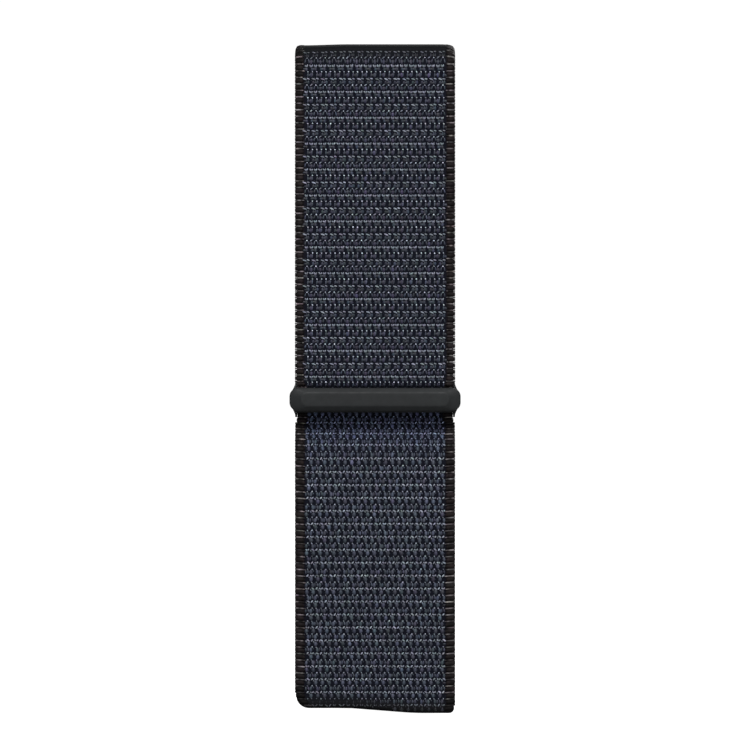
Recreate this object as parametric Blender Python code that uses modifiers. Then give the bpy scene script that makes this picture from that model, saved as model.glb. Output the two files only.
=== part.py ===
"""A fitness tracker band: a woven strap in two lengths, a clasp ring, and two tracker connectors.

Metres, +Z up along the closed band, X across it, -Y the outer side of the clasp and +Y the tracker's side.
The origin is the middle of the tracker's place, between the two connectors.
"""

import math

import bmesh
import bpy

MM = 0.001
GAP = 0.3 * MM  # air kept between neighbouring pieces
ARC_STEP = 7.5  # degrees between the points of an arc in a strap's side view

# Fabric
STRAP_WIDTH = 24.0 * MM
STRAP_THICK = 1.9 * MM
FOLD_THICK = 1.2 * MM  # the long strap, pressed thin round the ring's bar
CLAMPED_THICK = 0.9 * MM  # the short strap's end inside the ring
CLAMPED_REACH = 1.4 * MM  # from the ring's middle down to that end
TAPER_TOP = 1.6 * MM  # above the ring's cover, where the short strap starts to thin
TAPER_BACK = 0.9 * MM  # above the cover, where its back face reaches the clamped thickness
TAPER_FRONT = 0.5 * MM  # above the cover, where its front face starts to go in
TAPER_FRONT_END = 0.1 * MM  # above the cover, where its front face is all the way in

# The closed band from the side
BAND_TOP = 51.3 * MM
TAIL_BOTTOM = -50.4 * MM  # at mid width
TAIL_SLANT = 0.75 * MM  # how much lower the tail's right corner is than its left
CLASP_FACE_Y = -19.6 * MM  # outer face of the fabric on the clasp side
FRONT_CORNER_RADIUS = 2.55 * MM  # of the fabric's middle line, as are the radii below
REAR_CORNER_RADIUS = 6.5 * MM
CROWN_DEGREES = 12.0  # how far the top leans each way from level
S_RADIUS = 6.5 * MM  # of the S-curves below the ring
BEND_CLEARANCE = 1.2 * MM  # from the tail's bottom up to the long strap's lowest face

# Clasp ring
RING_Z = -3.2 * MM
RING_WIDTH = 25.9 * MM
COVER_HEIGHT = 3.5 * MM
COVER_SIDE_DEPTH = 0.85 * MM
COVER_BEVEL = 0.75 * MM
COVER_BEVEL_DEPTH = 0.55 * MM
COVER_END_RADIUS = 1.7 * MM
WALL_WIDTH = 0.85 * MM
WALL_HEIGHT = 4.6 * MM
WALL_OUTER_X = 12.75 * MM
WALL_BACK_Y = -13.9 * MM
PLATE_THICK = 0.8 * MM
PLATE_HEIGHT = 4.0 * MM
BAR_RADIUS = 0.7 * MM
BAR_Y = -14.75 * MM
BAR_Z = -3.6 * MM
RIVETS = 4
RIVET_SPACING = 6.0 * MM
RIVET_RADIUS = 0.4 * MM
RIVET_LENGTH = 2.9 * MM
RIVET_RECESS = 0.1 * MM  # how far a rivet ends inside the plate's back face
RIVET_HOLE_DEPTH = 0.9 * MM  # in the cover
HOLE_GAP = 0.2 * MM  # between a rivet and the edge of its hole
COVER_EDGE = 0.14 * MM  # rounding of the cover's edges
NOTCH_BELOW = 0.5 * MM  # the straps are narrow from this far below the end walls
NOTCH_ABOVE = 0.4 * MM  # to this far above them
NOTCH_Y = (-22.0 * MM, -11.0 * MM)

# Tail
PEEL_SETBACK = 1.3 * MM  # from the long strap's end to the line where the tail peels
TAIL_ROOT_RADIUS = 0.7 * MM
TAIL_CORNER_LEFT = 1.8 * MM
TAIL_CORNER_RIGHT = 0.8 * MM
HOOK_PAD_THICK = 0.6 * MM
HOOK_PAD_WIDTH = 21.0 * MM
HOOK_PAD_TOP = -15.0 * MM
HOOK_PAD_BOTTOM = -41.0 * MM

# Tracker connectors, given for the upper one
SEAT_HALF = 18.5 * MM  # half the length that the tracker fills
RAIL_WIDTH = 24.6 * MM
RAIL_HEIGHT = 3.8 * MM
RAIL_DEPTH = 3.4 * MM
PIN_Z = 24.7 * MM
PIN_RADIUS = 0.75 * MM
PIN_LENGTH = 24.0 * MM
PIN_HOLE_RADIUS = 1.0 * MM
EAR_RADIUS = 1.65 * MM
EAR_WIDTH = 1.9 * MM
EYE_BORE_RADIUS = 1.05 * MM
EYE_RADIUS = 1.95 * MM
NECK_HALF_WIDTH = 10.05 * MM
NECK_LENGTH = 2.4 * MM  # from the pin to where the strap is at full width
NECK_CUT = 3.0 * MM  # how far the cutters of the neck reach past the pin and the faces
EAR_ROOT = 1.2 * MM  # how far an ear starts inside the rail
EAR_SETBACK = 0.1 * MM  # from the rail's end to an ear's outer face
RAIL_EDGE = 0.45 * MM
SMALL_EDGE = 0.2 * MM  # rounding of the ears and the catch
CATCH_LENGTH = 5.0 * MM
CATCH_HEIGHT = 1.6 * MM
CATCH_CORNER = 0.75 * MM
CATCH_PROUD = 0.6 * MM
FLANGE_LENGTH = 7.0 * MM
FLANGE_HEIGHT = 2.0 * MM
FLANGE_THICK = 0.4 * MM
FLANGE_CORNER = 0.4 * MM
WINDOW_WALL = 0.7 * MM  # the rail's wall in front of the catch's flange
LID_LENGTH = 13.4 * MM
LID_HEIGHT = 2.9 * MM
LID_THICK = 0.5 * MM
LID_CORNER = 1.2 * MM
LID_GAP = 0.15 * MM  # round the lid
LID_SEAT = 0.2 * MM  # behind the lid
SCREW_X = 5.4 * MM
SCREW_RADIUS = 0.3 * MM
SCREW_LENGTH = 2.0 * MM
SCREW_HEAD_RADIUS = 0.6 * MM
SCREW_HEAD_THICK = 0.3 * MM
SCREW_HOLE_RADIUS = 0.5 * MM
SCREW_HOLE_LENGTH = 3.2 * MM
SCREW_PROUD = 0.1 * MM  # of the lid, under the head
SCREW_SLOT_HALF = 0.08 * MM
SPRING_X = 1.6 * MM
SPRING_RADIUS = 0.45 * MM
SPRING_WIRE_RADIUS = 0.09 * MM
SPRING_TURNS = 3
SPRING_END_GAP = 0.2 * MM

# Worked out from the sizes above
STRAP_FRONT_Y = CLASP_FACE_Y + STRAP_THICK / 2
STRAP_BACK_Y = CLASP_FACE_Y + STRAP_THICK
INNER_RUN_Y = STRAP_BACK_Y + 2 * GAP + HOOK_PAD_THICK + STRAP_THICK / 2
FOLD_RADIUS = (INNER_RUN_Y - STRAP_FRONT_Y) / 2
S_DEPTH = BAR_Y - FOLD_RADIUS - STRAP_FRONT_Y  # from the tail's middle line in to the fold's front leg
S_DEGREES = math.degrees(math.acos(1 - S_DEPTH / (2 * S_RADIUS)))
LEG_BOTTOM = RING_Z - WALL_HEIGHT / 2 - 0.1 * MM  # where the S-curves start
COVER_BACK_Y = CLASP_FACE_Y + 0.1 * MM
CLAMPED_FRONT_Y = COVER_BACK_Y + GAP
CLAMPED_BACK_Y = CLAMPED_FRONT_Y + CLAMPED_THICK
PLATE_FRONT_Y = CLAMPED_BACK_Y + GAP
PLATE_BACK_Y = PLATE_FRONT_Y + PLATE_THICK
RAIL_Z = SEAT_HALF + RAIL_HEIGHT / 2
# From the pin to where the strap's faces leave the eye
EYE_REACH = math.sqrt(EYE_RADIUS**2 - (STRAP_THICK / 2) ** 2)

ALONG_X = (math.radians(90), 0, math.radians(90))  # turns an outline in (y, z) so that it's extruded along X
ALONG_Y = (math.radians(90), 0, 0)  # turns an outline in (x, z) so that it's extruded along Y
ACROSS = (0, math.radians(90), 0)  # turns a cylinder so that it lies along X
SIDES = (("left", -1), ("right", 1))


# ---- scene and materials

def clear_scene():
    for obj in list(bpy.data.objects):
        bpy.data.objects.remove(obj, do_unlink=True)


def make_collection(name):
    collection = bpy.data.collections.new(name)
    bpy.context.scene.collection.children.link(collection)
    return collection


def make_material(name, colour, roughness, metallic=0.0):
    material = bpy.data.materials.new(name)
    material.use_nodes = True
    shader = material.node_tree.nodes["Principled BSDF"]
    shader.inputs["Base Color"].default_value = (*colour, 1)
    shader.inputs["Roughness"].default_value = roughness
    shader.inputs["Metallic"].default_value = metallic
    return material


# ---- outlines

def arc_points(centre, radius, start, end, step=15):
    """Points on an arc, both ends included; degrees run anticlockwise from the first axis."""
    steps = max(1, math.ceil(abs(end - start) / step))
    points = []
    for i in range(steps + 1):
        angle = math.radians(start + (end - start) * i / steps)
        points.append((centre[0] + radius * math.cos(angle), centre[1] + radius * math.sin(angle)))
    return points


def rounded_rectangle(width, height, radius):
    points = []
    for start, across, up in ((0, 1, 1), (90, -1, 1), (180, -1, -1), (270, 1, -1)):
        centre = (across * (width / 2 - radius), up * (height / 2 - radius))
        points += arc_points(centre, radius, start, start + 90)
    return points


class Route:
    """A strap's middle line in the (y, z) side view: straight runs and arcs, with its thickness all the way.

    A heading of 0 is +Z, and 90 is +Y.
    """

    def __init__(self, y, z, heading, thick):
        self.points = [(y, z, heading, thick)]

    def run(self, length):
        y, z, heading, thick = self.points[-1]
        turn = math.radians(heading)
        end = (y + length * math.sin(turn), z + length * math.cos(turn))
        self.points.append((*end, heading, thick))

    def turn(self, radius, degrees, thick_after=None):
        """An arc, clockwise for positive degrees, along which the thickness changes evenly."""
        y, z, heading, thick = self.points[-1]
        thick_after = thick_after or thick
        steps = max(1, math.ceil(abs(degrees) / ARC_STEP))
        signed = math.copysign(radius, degrees)
        start = math.radians(heading)
        for i in range(1, steps + 1):
            share = i / steps
            now = math.radians(heading + degrees * share)
            self.points.append((
                y + signed * (math.cos(start) - math.cos(now)),
                z + signed * (math.sin(now) - math.sin(start)),
                heading + degrees * share,
                thick + (thick_after - thick) * share,
            ))

    def face(self, side):
        """The points of one face, in route order: side is 1 right of the heading, and -1 left of it."""
        points = []
        for y, z, heading, thick in self.points:
            turn = math.radians(heading)
            out = side * thick / 2
            points.append((y + out * math.cos(turn), z - out * math.sin(turn)))
        return points


def eye_outline(pin_z, leaves):
    """The fabric round a strap pin, clockwise from one face of the strap to the other, less its end points.

    leaves is 1 where the strap leaves the pin upwards, and -1 where it leaves downwards.
    """
    opening = math.degrees(math.asin(STRAP_THICK / 2 / EYE_RADIUS))
    start = 90 * leaves + opening
    return arc_points((0, pin_z), EYE_RADIUS, start, start + 360 - 2 * opening)[-2:0:-1]


def eye_bore(pin_z):
    return arc_points((0, pin_z), EYE_BORE_RADIUS, 0, 345)


# ---- objects

def link_mesh(name, edit, collection, location=(0, 0, 0), rotation=(0, 0, 0)):
    mesh = bpy.data.meshes.new(name)
    edit.to_mesh(mesh)
    edit.free()
    obj = bpy.data.objects.new(name, mesh)
    obj.location = location
    obj.rotation_euler = rotation
    collection.objects.link(obj)
    return obj


def curve_to_mesh(curve_object, collection):
    """A mesh object with the curve object's shape, name and place. The curve object is removed."""
    graph = bpy.context.evaluated_depsgraph_get()
    mesh = bpy.data.meshes.new_from_object(curve_object.evaluated_get(graph))
    edit = bmesh.new()
    edit.from_mesh(mesh)
    bmesh.ops.remove_doubles(edit, verts=edit.verts, dist=1e-7)
    bmesh.ops.recalc_face_normals(edit, faces=edit.faces)
    name = curve_object.name
    place = curve_object.matrix_world.copy()
    bpy.data.objects.remove(curve_object, do_unlink=True)
    obj = link_mesh(name, edit, collection)
    obj.matrix_world = place
    return obj


def extruded(name, outlines, width, centre, rotation, collection):
    """A flat outline, with its holes as further outlines, extruded to a width about its centre."""
    curve = bpy.data.curves.new(name, "CURVE")
    curve.dimensions = "2D"
    curve.fill_mode = "BOTH"
    curve.extrude = width / 2
    for outline in outlines:
        spline = curve.splines.new("POLY")
        spline.points.add(len(outline) - 1)
        for point, (first, second) in zip(spline.points, outline):
            point.co = (first, second, 0, 1)
        spline.use_cyclic_u = True
    obj = bpy.data.objects.new(name, curve)
    obj.location = centre
    obj.rotation_euler = rotation
    collection.objects.link(obj)
    bpy.context.view_layer.update()
    return curve_to_mesh(obj, collection)


def box(name, low, high, collection):
    edit = bmesh.new()
    bmesh.ops.create_cube(edit, size=1)
    bmesh.ops.scale(edit, vec=[b - a for a, b in zip(low, high)], verts=edit.verts)
    return link_mesh(name, edit, collection, [(a + b) / 2 for a, b in zip(low, high)])


def cylinder(name, radius, length, centre, rotation, collection, sides=24):
    edit = bmesh.new()
    bmesh.ops.create_cone(edit, cap_ends=True, segments=sides, radius1=radius, radius2=radius, depth=length)
    return link_mesh(name, edit, collection, centre, rotation)


def boolean(obj, tool, operation="DIFFERENCE"):
    """Cuts with, joins or keeps what is inside a tool, which stays in the scene hidden."""
    modifier = obj.modifiers.new(tool.name, "BOOLEAN")
    modifier.operation = operation
    modifier.object = tool
    tool.hide_render = True
    tool.display_type = "WIRE"


def round_edges(obj, width, segments=2, degrees=40):
    modifier = obj.modifiers.new("rounded edges", "BEVEL")
    modifier.width = width
    modifier.segments = segments
    modifier.limit_method = "ANGLE"
    modifier.angle_limit = math.radians(degrees)


def finish(obj, material, holder):
    """Gives a piece its material, smooth round faces and its parent, which leaves it where it is."""
    obj.data.materials.clear()
    obj.data.materials.append(material)
    obj.data.shade_smooth()
    obj.data.set_sharp_from_angle(angle=math.radians(35))
    bpy.context.view_layer.update()
    obj.parent = holder
    obj.matrix_parent_inverse = holder.matrix_world.inverted()


def joint_axis(name, y, z):
    """An empty on a joint's axis, which lies along X."""
    axis = bpy.data.objects.new(name, None)
    axis.location = (0, y, z)
    PIECES.objects.link(axis)
    return axis


# ---- fabric

def narrow_at_pin(strap, pin_z, leaves):
    """Cuts the strap's edges away between a connector's ears."""
    low, high = sorted((pin_z - leaves * NECK_CUT, pin_z + leaves * NECK_LENGTH))
    for side, sign in SIDES:
        near, far = sorted((sign * NECK_HALF_WIDTH, sign * STRAP_WIDTH))
        name = f"{strap.name}_neck_{side}"
        boolean(strap, box(name, (near, -NECK_CUT, low), (far, NECK_CUT, high), CUTTERS))


def narrow_in_ring(strap):
    """Cuts the strap's edges away between the ring's end walls."""
    inside = WALL_OUTER_X - WALL_WIDTH - GAP
    low = RING_Z - WALL_HEIGHT / 2 - NOTCH_BELOW
    high = RING_Z + WALL_HEIGHT / 2 + NOTCH_ABOVE
    for side, sign in SIDES:
        near, far = sorted((sign * inside, sign * STRAP_WIDTH))
        name = f"{strap.name}_notch_{side}"
        boolean(strap, box(name, (near, NOTCH_Y[0], low), (far, NOTCH_Y[1], high), CUTTERS))


def rivet_xs():
    return [(i - (RIVETS - 1) / 2) * RIVET_SPACING for i in range(RIVETS)]


def rivet_holes(piece, low_y, high_y):
    for i, x in enumerate(rivet_xs(), 1):
        centre = (x, (low_y + high_y) / 2, RING_Z)
        name = f"{piece.name}_rivet_hole_{i}"
        hole = cylinder(name, RIVET_RADIUS + HOLE_GAP, high_y - low_y, centre, ALONG_Y, CUTTERS)
        boolean(piece, hole)


def short_strap_route(bottom):
    """Up the clasp side, over the crowned top and down to the upper pin."""
    side = math.radians(90 - CROWN_DEGREES)
    corners = (FRONT_CORNER_RADIUS + REAR_CORNER_RADIUS) * (1 - math.cos(side))
    crown_radius = (-STRAP_FRONT_Y - corners) / (2 * math.cos(side))
    crown_rise = crown_radius * (1 - math.sin(side))
    front_top = BAND_TOP - STRAP_THICK / 2 - crown_rise - FRONT_CORNER_RADIUS * math.sin(side)
    route = Route(STRAP_FRONT_Y, bottom, 0, STRAP_THICK)
    route.run(front_top - bottom)
    route.turn(FRONT_CORNER_RADIUS, 90 - CROWN_DEGREES)
    route.turn(crown_radius, 2 * CROWN_DEGREES)
    route.turn(REAR_CORNER_RADIUS, 90 - CROWN_DEGREES)
    route.run(route.points[-1][1] - PIN_Z - EYE_REACH)
    return route


def make_short_strap(axis):
    cover_top = RING_Z + COVER_HEIGHT / 2
    route = short_strap_route(cover_top + TAPER_TOP)
    clamped_bottom = RING_Z - CLAMPED_REACH
    clamped_end = [
        (CLAMPED_BACK_Y, cover_top + TAPER_BACK),
        (CLAMPED_BACK_Y, clamped_bottom),
        (CLAMPED_FRONT_Y, clamped_bottom),
        (CLAMPED_FRONT_Y, cover_top + TAPER_FRONT_END),
        (CLASP_FACE_Y, cover_top + TAPER_FRONT),
    ]
    outline = route.face(-1) + eye_outline(PIN_Z, 1) + route.face(1)[::-1] + clamped_end
    strap = extruded("short_strap", [outline, eye_bore(PIN_Z)], STRAP_WIDTH, (0, 0, 0), ALONG_X, PIECES)
    narrow_at_pin(strap, PIN_Z, 1)
    narrow_in_ring(strap)
    rivet_holes(strap, CLAMPED_FRONT_Y - 1 * MM, CLAMPED_BACK_Y + 1 * MM)
    finish(strap, WOVEN, axis)


def long_strap_route():
    """From the lower pin round the bottom, up behind the tail, over the ring's bar and out below it."""
    bend_radius = -INNER_RUN_Y / 2
    bend_z = TAIL_BOTTOM + BEND_CLEARANCE + STRAP_THICK / 2 + bend_radius
    s_height = 2 * S_RADIUS * math.sin(math.radians(S_DEGREES))
    half_way = (STRAP_THICK + FOLD_THICK) / 2
    route = Route(0, -PIN_Z - EYE_REACH, 180, STRAP_THICK)
    route.run(-PIN_Z - EYE_REACH - bend_z)
    route.turn(bend_radius, 180)
    route.run(LEG_BOTTOM - s_height - bend_z)
    route.turn(S_RADIUS, S_DEGREES, half_way)
    route.turn(S_RADIUS, -S_DEGREES, FOLD_THICK)
    route.run(BAR_Z - LEG_BOTTOM)
    route.turn(FOLD_RADIUS, -180)
    route.run(BAR_Z - LEG_BOTTOM)
    route.turn(S_RADIUS, S_DEGREES - math.degrees(PEEL_SETBACK / S_RADIUS), half_way)
    return route


def make_long_strap(axis):
    route = long_strap_route()
    outline = route.face(-1) + route.face(1)[::-1] + eye_outline(-PIN_Z, -1)
    strap = extruded("long_strap", [outline, eye_bore(-PIN_Z)], STRAP_WIDTH, (0, 0, 0), ALONG_X, PIECES)
    narrow_at_pin(strap, -PIN_Z, -1)
    narrow_in_ring(strap)
    finish(strap, WOVEN, axis)


def peel_line():
    """(y, z) of the line where the tail peels: the middle of the S-curve in front of the ring's bar."""
    turn = math.radians(S_DEGREES)
    y = BAR_Y - FOLD_RADIUS - S_RADIUS * (1 - math.cos(turn))
    return y, LEG_BOTTOM - S_RADIUS * math.sin(turn)


def tail_front_outline(top):
    """The tail from the front: its slanted, rounded tip, and straight sides outside the fabric's edges."""
    half = STRAP_WIDTH / 2
    outside = half + 0.5 * MM
    left_z = TAIL_BOTTOM + TAIL_SLANT / 2 + TAIL_CORNER_LEFT
    right_z = TAIL_BOTTOM - TAIL_SLANT / 2 + TAIL_CORNER_RIGHT
    left = arc_points((TAIL_CORNER_LEFT - half, left_z), TAIL_CORNER_LEFT, 180, 270)
    right = arc_points((half - TAIL_CORNER_RIGHT, right_z), TAIL_CORNER_RIGHT, 270, 360)
    return [(-outside, top), (-outside, left_z), *left, *right, (outside, right_z), (outside, top)]


def make_tail(axis):
    y, z = peel_line()
    route = Route(y, z, 180 + S_DEGREES, 2 * TAIL_ROOT_RADIUS)
    route.turn(S_RADIUS, -S_DEGREES, STRAP_THICK)
    route.run(route.points[-1][1] - TAIL_BOTTOM + 3 * MM)
    root = arc_points((y, z), TAIL_ROOT_RADIUS, -S_DEGREES, 180 - S_DEGREES)[1:-1]
    outline = route.face(1) + route.face(-1)[::-1] + root
    tail = extruded("tail", [outline], STRAP_WIDTH, (0, 0, 0), ALONG_X, PIECES)
    front = tail_front_outline(z + 4 * MM)
    kept = extruded("tail_front", [front], 12 * MM, (0, STRAP_FRONT_Y, 0), ALONG_Y, CUTTERS)
    boolean(tail, kept, "INTERSECT")
    finish(tail, PILE, axis)


def make_hook_pad(axis):
    """The strip of hook tape on the back of the tail."""
    outline = rounded_rectangle(HOOK_PAD_WIDTH, HOOK_PAD_TOP - HOOK_PAD_BOTTOM, 1.5 * MM)
    centre = (0, STRAP_BACK_Y + GAP + HOOK_PAD_THICK / 2, (HOOK_PAD_TOP + HOOK_PAD_BOTTOM) / 2)
    pad = extruded("hook_pad", [outline], HOOK_PAD_THICK, centre, ALONG_Y, PIECES)
    finish(pad, HOOKS, axis)


# ---- clasp ring

def make_ring_cover(axis):
    """The bar that shows on the clasp, with a broad bevel round its flat face."""
    outline = rounded_rectangle(RING_WIDTH, COVER_HEIGHT, COVER_END_RADIUS)
    centre = (0, COVER_BACK_Y - COVER_SIDE_DEPTH / 2, RING_Z)
    cover = extruded("ring_cover", [outline], COVER_SIDE_DEPTH, centre, ALONG_Y, PIECES)
    edit = bmesh.new()
    edit.from_mesh(cover.data)
    front = [face for face in edit.faces if face.normal.z > 0.9]
    bmesh.ops.inset_region(
        edit, faces=front, thickness=COVER_BEVEL, depth=COVER_BEVEL_DEPTH, use_even_offset=True
    )
    edit.to_mesh(cover.data)
    edit.free()
    round_edges(cover, COVER_EDGE, 2, 25)
    rivet_holes(cover, COVER_BACK_Y - RIVET_HOLE_DEPTH, COVER_BACK_Y + 1 * MM)
    finish(cover, RING_PLASTIC, axis)


def make_ring_frame(axis):
    """The plate behind the strap's end, the rear bar and the two end walls that join them."""
    depth = WALL_BACK_Y - CLAMPED_FRONT_Y
    wall_y = (WALL_BACK_Y + CLAMPED_FRONT_Y) / 2
    outline = rounded_rectangle(depth, WALL_HEIGHT, 1.6 * MM)
    walls = []
    for side, sign in SIDES:
        centre = (sign * (WALL_OUTER_X - WALL_WIDTH / 2), wall_y, RING_Z)
        collection = PIECES if side == "left" else CUTTERS
        name = "ring_frame" if side == "left" else "ring_frame_right_wall"
        wall = extruded(name, [outline], WALL_WIDTH, centre, ALONG_X, collection)
        round_edges(wall, 0.3 * MM)
        walls.append(wall)
    frame, right_wall = walls
    reach = WALL_OUTER_X - WALL_WIDTH / 2
    low = (-reach, PLATE_FRONT_Y, RING_Z - PLATE_HEIGHT / 2)
    high = (reach, PLATE_BACK_Y, RING_Z + PLATE_HEIGHT / 2)
    boolean(frame, box("ring_frame_plate", low, high, CUTTERS), "UNION")
    bar = cylinder("ring_frame_bar", BAR_RADIUS, 2 * reach, (0, BAR_Y, BAR_Z), ACROSS, CUTTERS)
    boolean(frame, bar, "UNION")
    boolean(frame, right_wall, "UNION")
    rivet_holes(frame, PLATE_FRONT_Y - 0.5 * MM, PLATE_BACK_Y + 0.5 * MM)
    finish(frame, RING_PLASTIC, axis)


def make_ring_rivets(axis):
    centre_y = PLATE_BACK_Y - RIVET_RECESS - RIVET_LENGTH / 2
    for i, x in enumerate(rivet_xs(), 1):
        centre = (x, centre_y, RING_Z)
        rivet = cylinder(f"ring_rivet_{i}", RIVET_RADIUS, RIVET_LENGTH, centre, ALONG_Y, PIECES)
        finish(rivet, STEEL, axis)


# ---- tracker connectors, modelled as the upper one and turned half round for the lower

class Connector:
    """Makes one connector's pieces under an empty, and names left and right pieces by their final side."""

    def __init__(self, name, turned):
        self.name = name
        self.turned = turned
        self.frame = bpy.data.objects.new(f"{name}_connector", None)
        self.frame.rotation_euler = (0, math.pi if turned else 0, 0)
        PIECES.objects.link(self.frame)
        bpy.context.view_layer.update()

    def label(self, piece, sign=0):
        if not sign:
            return f"{self.name}_{piece}"
        is_left = (sign < 0) != self.turned
        return f"{self.name}_{piece}_{'left' if is_left else 'right'}"

    def place(self, obj):
        obj.parent = self.frame
        return obj

    def finish(self, obj, material):
        finish(obj, material, self.frame)
        obj.matrix_parent_inverse.identity()

    def cut(self, obj, tool):
        boolean(obj, self.place(tool))

    def make_rail(self):
        half = (RAIL_WIDTH / 2, RAIL_DEPTH / 2)
        top = SEAT_HALF + RAIL_HEIGHT
        low, high = (-half[0], -half[1], SEAT_HALF), (half[0], half[1], top)
        rail = box(self.label("rail"), low, high, PIECES)
        round_edges(rail, RAIL_EDGE, 3)
        root = top - EAR_ROOT
        ear = [(EAR_RADIUS, root), *arc_points((0, PIN_Z), EAR_RADIUS, 0, 180), (-EAR_RADIUS, root)]
        for side, sign in SIDES:
            x = sign * (RAIL_WIDTH / 2 - EAR_SETBACK - EAR_WIDTH / 2)
            tool = extruded(f"{rail.name}_ear_{side}", [ear], EAR_WIDTH, (x, 0, 0), ALONG_X, CUTTERS)
            round_edges(tool, SMALL_EDGE)
            boolean(rail, self.place(tool), "UNION")
        name = f"{rail.name}_pin_hole"
        self.cut(rail, cylinder(name, PIN_HOLE_RADIUS, 2 * RAIL_WIDTH, (0, 0, PIN_Z), ACROSS, CUTTERS))
        cavity_y = WINDOW_WALL - RAIL_DEPTH / 2
        recess_y = RAIL_DEPTH / 2 - LID_THICK - LID_SEAT
        pill = (CATCH_LENGTH, CATCH_HEIGHT, CATCH_CORNER)
        flange = (FLANGE_LENGTH, FLANGE_HEIGHT, FLANGE_CORNER)
        lid = (LID_LENGTH, LID_HEIGHT, LID_CORNER)
        self.cut_pocket(rail, "window", pill, -RAIL_DEPTH, cavity_y + 0.2 * MM)
        self.cut_pocket(rail, "cavity", flange, cavity_y, RAIL_DEPTH)
        self.cut_pocket(rail, "recess", lid, recess_y, RAIL_DEPTH, LID_GAP)
        for side, sign in SIDES:
            name = f"{rail.name}_screw_hole_{side}"
            centre = (sign * SCREW_X, recess_y, RAIL_Z)
            hole = cylinder(name, SCREW_HOLE_RADIUS, SCREW_HOLE_LENGTH, centre, ALONG_Y, CUTTERS)
            self.cut(rail, hole)
        self.finish(rail, RAIL_PLASTIC)

    def cut_pocket(self, rail, name, size, low_y, high_y, gap=GAP):
        """Cuts a rounded pocket that leaves a gap round a piece of this length, height and corner radius."""
        length, height, radius = size
        outline = rounded_rectangle(length + 2 * gap, height + 2 * gap, radius + gap)
        centre = (0, (low_y + high_y) / 2, RAIL_Z)
        name = f"{rail.name}_{name}"
        self.cut(rail, extruded(name, [outline], high_y - low_y, centre, ALONG_Y, CUTTERS))

    def make_pin(self):
        name = self.label("strap_pin")
        pin = cylinder(name, PIN_RADIUS, PIN_LENGTH, (0, 0, PIN_Z), ACROSS, PIECES, 32)
        round_edges(pin, 0.15 * MM)
        self.finish(pin, STEEL)

    def make_catch(self):
        """The button that frees the tracker: a pill through the rail's window, with a flange behind it."""
        front = -RAIL_DEPTH / 2 - CATCH_PROUD
        flange_front = WINDOW_WALL - RAIL_DEPTH / 2 + GAP
        back = flange_front + FLANGE_THICK / 2
        pill = rounded_rectangle(CATCH_LENGTH, CATCH_HEIGHT, CATCH_CORNER)
        centre = (0, (front + back) / 2, RAIL_Z)
        catch = extruded(self.label("catch"), [pill], back - front, centre, ALONG_Y, PIECES)
        round_edges(catch, SMALL_EDGE)
        flange = rounded_rectangle(FLANGE_LENGTH, FLANGE_HEIGHT, FLANGE_CORNER)
        centre = (0, flange_front + FLANGE_THICK / 2, RAIL_Z)
        tool = extruded(f"{catch.name}_flange", [flange], FLANGE_THICK, centre, ALONG_Y, CUTTERS)
        boolean(catch, self.place(tool), "UNION")
        self.finish(catch, CATCH_PLASTIC)

    def make_springs(self):
        """Two coils that push the catch out, between its flange and the lid."""
        flange_back = WINDOW_WALL - RAIL_DEPTH / 2 + GAP + FLANGE_THICK
        start = flange_back + SPRING_END_GAP + SPRING_WIRE_RADIUS
        end = RAIL_DEPTH / 2 - LID_THICK - SPRING_END_GAP - SPRING_WIRE_RADIUS
        count = 12 * SPRING_TURNS + 1
        for _, sign in SIDES:
            curve = bpy.data.curves.new("spring", "CURVE")
            curve.dimensions = "3D"
            curve.bevel_depth = SPRING_WIRE_RADIUS
            curve.bevel_resolution = 2
            curve.use_fill_caps = True
            spline = curve.splines.new("POLY")
            spline.points.add(count - 1)
            for i, point in enumerate(spline.points):
                angle = math.radians(30 * i)
                x = sign * SPRING_X + SPRING_RADIUS * math.cos(angle)
                y = start + (end - start) * i / (count - 1)
                point.co = (x, y, RAIL_Z + SPRING_RADIUS * math.sin(angle), 1)
            obj = bpy.data.objects.new(self.label("catch_spring", sign), curve)
            PIECES.objects.link(obj)
            bpy.context.view_layer.update()
            self.finish(curve_to_mesh(obj, PIECES), STEEL)

    def make_lid(self):
        outline = rounded_rectangle(LID_LENGTH, LID_HEIGHT, LID_CORNER)
        centre = (0, (RAIL_DEPTH - LID_THICK) / 2, RAIL_Z)
        lid = extruded(self.label("catch_cover"), [outline], LID_THICK, centre, ALONG_Y, PIECES)
        for side, sign in SIDES:
            name = f"{lid.name}_hole_{side}"
            centre = (sign * SCREW_X, RAIL_DEPTH / 2, RAIL_Z)
            self.cut(lid, cylinder(name, SCREW_HOLE_RADIUS, 2 * MM, centre, ALONG_Y, CUTTERS))
        self.finish(lid, RAIL_PLASTIC)

    def make_screws(self):
        head_y = RAIL_DEPTH / 2 + SCREW_PROUD
        middle_y = head_y + SCREW_HEAD_THICK / 2
        for _, sign in SIDES:
            x = sign * SCREW_X
            name = self.label("cover_screw", sign)
            centre = (x, middle_y, RAIL_Z)
            screw = cylinder(name, SCREW_HEAD_RADIUS, SCREW_HEAD_THICK, centre, ALONG_Y, PIECES)
            centre = (x, head_y + 0.1 * MM - SCREW_LENGTH / 2, RAIL_Z)
            shank = cylinder(f"{name}_shank", SCREW_RADIUS, SCREW_LENGTH, centre, ALONG_Y, CUTTERS, 16)
            boolean(screw, self.place(shank), "UNION")
            low = (x - SCREW_HEAD_RADIUS, middle_y, RAIL_Z - SCREW_SLOT_HALF)
            high = (x + SCREW_HEAD_RADIUS, head_y + 1 * MM, RAIL_Z + SCREW_SLOT_HALF)
            self.cut(screw, box(f"{name}_slot", low, high, CUTTERS))
            self.finish(screw, STEEL)

    def make(self):
        self.make_rail()
        self.make_pin()
        self.make_catch()
        self.make_springs()
        self.make_lid()
        self.make_screws()


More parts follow.
